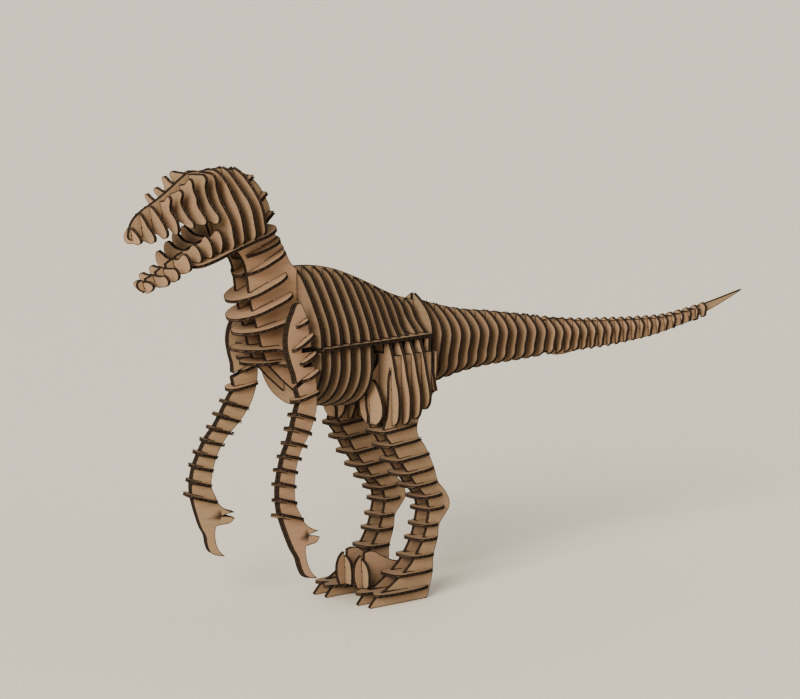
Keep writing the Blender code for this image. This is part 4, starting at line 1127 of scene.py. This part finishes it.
def add_leg_boards(side_name, side, body):
    group = (ROOT, body, "leg_board")
    for layer, y in zip(("inner", "outer"), SHANK_Y):
        offset = side * y
        boxes = [half_slot(leg_ring_frame(ring), offset, SLOT, THROUGH, True) for ring in LEG_RINGS]
        for index in LEAVES:
            if y in boards_of_leaf(index):
                low = leaf_lap(index) - GAP
                boxes.append(slot_across(rib_xs()[index], offset, low, THIGH_TOP_Z + 10))
        boxes.append(sole_slot(offset, True))
        placement = at(SIDE_PLANE, (0, offset, 0))
        name = f"{side_name}_leg_{layer}_board"
        node = f"{side_name}_leg_{layer}"
        add_board(name, shank_outline(layer), placement, group, node, boxes, turned=True)


def add_leg_rings(side_name, side, body):
    group = (ROOT, body, "leg_board")
    for i, ring in enumerate(LEG_RINGS):
        _, front, rear, _ = ring
        middle = (front + rear) / 2
        plan = signed(ring_plan(front - middle, rear - middle), side)
        frame_at = leg_ring_frame(ring)
        boxes = [half_slot(frame_at, side * y, THROUGH, SLOT, False) for y in SHANK_Y]
        name = f"{side_name}_leg_ring_{i + 1:02d}"
        add_board(name, plan, frame_at, group, side_name + "_leg_outer", boxes)


def add_thigh_ribs(side_name, side, body):
    group = (ROOT, body, "leg_board")
    for index, (_, bottom) in LEAVES.items():
        x = rib_xs()[index]
        outline = signed_section(leaf_outline(index), side)
        ys = boards_of_leaf(index)
        boxes = [slot_along(x, side * y, bottom - 10, leaf_lap(index)) for y in ys]
        name = f"{side_name}_thigh_rib_{index + 1:02d}"
        add_cross_board(name, outline, x, group, side_name + "_leg_inner", boxes)


def add_sole(side_name, side, body):
    plan = [
        (-66, 11), (-70, 16), (-79, 22), (-79, 27), corner(-66, 33), (-72, 40), (-74, 45), (-66, 50),
        (-50, 52), (-20, 51), (-4, 46), corner(2, 40), corner(2, 20), (-10, 11), (-30, 8), (-52, 8),
    ]
    boxes = [sole_slot(side * y, False) for y in SHANK_Y]
    y = side * CLAW_Y
    low = (-40 - GAP, y - SLOT / 2, SOLE_Z - REACH)
    boxes.append(span_box(low, (-28 + GAP, y + SLOT / 2, SOLE_Z + REACH)))
    group = (ROOT, body, "leg_board")
    name = side_name + "_sole"
    add_board(name + "_board", signed(plan, side), at(FLAT_PLANE, (0, 0, SOLE_Z)), group, name, boxes)


ARCH_X = -62.5
ARCH_LAP_Z = 31.0


def add_claw(side_name, side, body):
    """The raised sickle toe and the arched board that crosses it."""
    group = (ROOT, body, "leg_board")
    node = side_name + "_claw"
    y = side * CLAW_Y
    floor = SOLE_Z + BOARD / 2 + GAP
    outline = [corner(-70, floor), (-74, 26), (-71, 42), (-61, 49), (-50, 50), (-38, 44), (-22, 37)]
    outline += [corner(-8, 34), corner(-8, floor + 0.4), corner(-28, floor + 0.2)]
    outline += [corner(-28, SOLE_Z - 3), corner(-40, SOLE_Z - 3), corner(-40, floor)]
    slot_box = slot_across(ARCH_X, y, ARCH_LAP_Z, 70)
    placement = at(SIDE_PLANE, (0, y, 0))
    add_board(node + "_board", outline, placement, group, node, [slot_box], turned=True)
    arch = [corner(1.5, floor + 0.4), (1.5, 30), (5, 39), (12, 43), (20, 39), (24.5, 30)]
    arch = signed_section(arch + [corner(24.5, 17), corner(21.5, floor + 0.4)], side)
    slot_box = slot_along(ARCH_X, y, 0, ARCH_LAP_Z + GAP)
    add_cross_board(side_name + "_claw_arch", arch, ARCH_X, group, node, [slot_box])


def add_leg(side_name, side):
    body = side_name + "_leg"
    add_leg_boards(side_name, side, body)
    add_leg_rings(side_name, side, body)
    add_thigh_ribs(side_name, side, body)
    add_sole(side_name, side, body)
    add_claw(side_name, side, body)


# ---------------------------------------------------------------- papers


class Nodes:
    """A new material, with a short way to add and link its shader nodes."""

    def __init__(self, name):
        self.material = bpy.data.materials.new(name)
        self.material.use_nodes = True
        self.tree = self.material.node_tree
        self.shader = self.tree.nodes["Principled BSDF"]

    def add(self, kind, inputs=None, **settings):
        node = self.tree.nodes.new("ShaderNode" + kind)
        for key, value in settings.items():
            setattr(node, key, value)
        for key, value in (inputs or {}).items():
            if hasattr(value, "is_output"):
                self.tree.links.new(value, node.inputs[key])
            else:
                node.inputs[key].default_value = value
        return node

    def math(self, operation, a, b=0.0, clamp=False):
        node = self.add("Math", {0: a, 1: b}, operation=operation, use_clamp=clamp)
        return node.outputs[0]

    def mix(self, factor, a, b, blend="MIX"):
        node = self.add("Mix", data_type="RGBA", blend_type=blend)
        for socket, value in ((node.inputs[0], factor), (node.inputs[6], a), (node.inputs[7], b)):
            if hasattr(value, "is_output"):
                self.tree.links.new(value, socket)
            else:
                socket.default_value = value
        return node.outputs[2]

    def ramp(self, factor, low, high):
        """0 below low and 1 above high, easing between them."""
        inputs = {"Value": factor, "From Min": low, "From Max": high}
        node = self.add("MapRange", inputs, interpolation_type="SMOOTHSTEP")
        return node.outputs["Result"]

    def noise(self, vector, scale, detail=3.0, roughness=0.55):
        inputs = {"Vector": vector, "Scale": scale, "Detail": detail, "Roughness": roughness}
        return self.add("TexNoise", inputs).outputs["Fac"]

    def attribute(self, name, output):
        return self.add("Attribute", attribute_name=name).outputs[output]

    def stretched(self, vector, factors):
        return self.add("VectorMath", {0: vector, 1: factors}, operation="MULTIPLY").outputs[0]


def finished(nodes, colour, height, roughness, strength):
    links = nodes.tree.links
    links.new(colour, nodes.shader.inputs["Base Color"])
    links.new(roughness, nodes.shader.inputs["Roughness"])
    bump = nodes.add("Bump", {"Height": height, "Strength": strength, "Distance": 0.0004})
    links.new(bump.outputs["Normal"], nodes.shader.inputs["Normal"])
    nodes.shader.inputs["Specular IOR Level"].default_value = 0.25
    return nodes.material


def liner_paper(name, tint):
    """Kraft liner: fibres, flecks, the flutes showing through, and a scorched margin."""
    nodes = Nodes(name)
    vector = nodes.attribute("sheet", "Vector")
    fibres = nodes.noise(nodes.stretched(vector, (260.0, 2600.0, 2600.0)), 1.0, 4.0, 0.6)
    cloud = nodes.noise(vector, 55.0, 4.0, 0.6)
    speck = nodes.noise(nodes.stretched(vector, (900.0, 1700.0, 1700.0)), 1.0, 2.0, 0.5)
    across = nodes.add("SeparateXYZ", {0: vector}).outputs["X"]
    angle = nodes.math("MULTIPLY", across, 2 * math.pi / (FLUTE_PITCH * MM))
    flute = nodes.math("COSINE", angle)
    colour = nodes.mix(nodes.ramp(fibres, 0.25, 0.75), tint["deep"], tint["bright"])
    colour = nodes.mix(nodes.ramp(cloud, 0.3, 0.75), colour, tint["warm"])
    tone = nodes.math("MULTIPLY", nodes.attribute("tone", "Fac"), 0.35)
    colour = nodes.mix(tone, colour, tint["rosy"])
    colour = nodes.mix(nodes.math("MULTIPLY", nodes.ramp(speck, 0.66, 0.74), 0.5), colour, tint["fleck"])
    band = nodes.math("MULTIPLY", nodes.ramp(flute, -0.2, 1.0), 0.10)
    colour = nodes.mix(band, colour, tint["deep"])
    burn = nodes.attribute("scorch", "Fac")
    ragged = nodes.math("ADD", burn, nodes.math("MULTIPLY", nodes.math("SUBTRACT", cloud, 0.5), 0.5))
    colour = nodes.mix(nodes.ramp(ragged, 0.1, 0.5), colour, tint["singe"])
    colour = nodes.mix(nodes.ramp(ragged, 0.3, 0.7), colour, tint["char"])
    height = nodes.math("ADD", nodes.math("MULTIPLY", fibres, 0.35), nodes.math("MULTIPLY", flute, 0.22))
    roughness = nodes.math("ADD", nodes.math("MULTIPLY", fibres, 0.18), 0.72)
    return finished(nodes, colour, height, roughness, 0.45)


def edge_paper(name, tint):
    """Laser-cut edge: char with brown patches where less of it burnt."""
    nodes = Nodes(name)
    vector = nodes.attribute("sheet", "Vector")
    patches = nodes.noise(vector, 420.0, 4.0, 0.65)
    grit = nodes.noise(vector, 2600.0, 3.0, 0.6)
    colour = nodes.mix(nodes.ramp(patches, 0.48, 0.75), tint["char"], tint["singe"])
    colour = nodes.mix(nodes.math("MULTIPLY", nodes.ramp(grit, 0.6, 0.85), 0.12), colour, tint["deep"])
    roughness = nodes.math("ADD", nodes.math("MULTIPLY", grit, 0.2), 0.75)
    return finished(nodes, colour, grit, roughness, 0.5)


def medium_paper(name, tint):
    """The fluted middle: rougher, darker recycled paper, browned where the laser cut it."""
    nodes = Nodes(name)
    vector = nodes.attribute("sheet", "Vector")
    fibres = nodes.noise(nodes.stretched(vector, (2000.0, 500.0, 2000.0)), 1.0, 4.0, 0.65)
    cloud = nodes.noise(vector, 140.0, 3.0, 0.6)
    colour = nodes.mix(nodes.ramp(fibres, 0.3, 0.75), tint["fleck"], tint["deep"])
    colour = nodes.mix(nodes.math("ADD", nodes.math("MULTIPLY", cloud, 0.4), 0.35), colour, tint["singe"])
    burn = nodes.attribute("scorch", "Fac")
    colour = nodes.mix(nodes.ramp(burn, 0.2, 0.9), colour, tint["char"])
    roughness = nodes.math("ADD", nodes.math("MULTIPLY", fibres, 0.15), 0.8)
    return finished(nodes, colour, fibres, roughness, 0.4)


# Darkens a colour by a factor: the painted shade of one group of boards.
def with_painted_shade(colour, factor):
    return (*[channel * factor for channel in colour], 1.0)


def make_papers():
    kraft = {
        "bright": (0.38, 0.258, 0.148), "deep": (0.19, 0.116, 0.060), "warm": (0.30, 0.195, 0.105),
        "rosy": (0.42, 0.225, 0.14), "fleck": (0.14, 0.075, 0.038), "singe": (0.055, 0.026, 0.012),
        "char": (0.006, 0.004, 0.003),
    }
    # Each group's kraft is darkened by its factor as painted shade: darkest for the close-set body ribs and
    # tail rings, where shade falls between them, and lightest for the open neck, skull and arms.
    painted_shade_by_paper = {
        "spine_board": 0.80, "rib_board": 0.58, "ring_board": 0.68, "belt_board": 0.85,
        "neck_board": 0.98, "tail_board": 0.84, "skull_board": 0.90, "arm_board": 0.92, "leg_board": 0.80,
    }
    for paper, factor in painted_shade_by_paper.items():
        tint = {key: with_painted_shade(colour, factor) for key, colour in kraft.items()}
        liner = liner_paper(paper + "_liner", tint)
        edge = edge_paper(paper + "_edge", tint)
        PAPERS[paper] = (liner, edge, medium_paper(paper + "_medium", tint))


# ---------------------------------------------------------------- floor, light and camera

VIEW_AZIMUTH = 42.0
VIEW_ELEVATION = 8.4
VIEW_DISTANCE = 3.2
TARGET = Vector((HIPS_X, 0, 0.246))


def view_direction():
    b, e = math.radians(VIEW_AZIMUTH), math.radians(VIEW_ELEVATION)
    return Vector((-math.sin(b) * math.cos(e), -math.cos(b) * math.cos(e), math.sin(e)))


def add_floor():
    mesh = bpy.data.meshes.new("floor")
    size = 30.0
    corners = [(-size, -size, 0), (size, -size, 0), (size, size, 0), (-size, size, 0)]
    mesh.from_pydata(corners, [], [(0, 1, 2, 3)])
    floor = bpy.data.objects.new("floor", mesh)
    bpy.context.scene.collection.objects.link(floor)
    material = bpy.data.materials.new("floor_paint")
    material.use_nodes = True
    shader = material.node_tree.nodes["Principled BSDF"]
    shader.inputs["Base Color"].default_value = (0.86, 0.79, 0.67, 1.0)
    shader.inputs["Roughness"].default_value = 0.7
    mesh.materials.append(material)


def add_light(name, kind, place, energy, colour):
    data = bpy.data.lights.new(name, kind)
    data.energy = energy
    data.color = colour
    light = bpy.data.objects.new(name, data)
    light.location = place
    light.rotation_euler = (Vector(place) - TARGET).to_track_quat("Z", "Y").to_euler()
    bpy.context.scene.collection.objects.link(light)
    return data


def add_studio():
    world = bpy.data.worlds.new("studio")
    world.use_nodes = True
    background = world.node_tree.nodes["Background"]
    background.inputs["Color"].default_value = (1.0, 0.95, 0.87, 1.0)
    background.inputs["Strength"].default_value = 0.62
    bpy.context.scene.world = world
    key = add_light("key", "SUN", (-1.8, -0.80, 1.05), 5.8, (1.0, 0.95, 0.86))
    key.angle = math.radians(32)
    fill = add_light("fill", "AREA", (0.6, -2.2, 0.9), 5.0, (1.0, 0.94, 0.88))
    fill.size = 1.2


def add_camera():
    data = bpy.data.cameras.new("photo_camera")
    data.lens = 144.0
    data.sensor_width = 36.0
    camera = bpy.data.objects.new("photo_camera", data)
    camera.location = TARGET + view_direction() * VIEW_DISTANCE
    camera.rotation_euler = view_direction().to_track_quat("Z", "Y").to_euler()
    bpy.context.scene.collection.objects.link(camera)
    bpy.context.scene.camera = camera


make_papers()
add_spine()
add_ribs()
add_rings()
add_belts()
add_tail_end()
add_neck()
add_head()
for side_of, sign in SIDES.items():
    add_arm(side_of, sign)
    add_leg(side_of, sign)
add_floor()
add_studio()
add_camera()
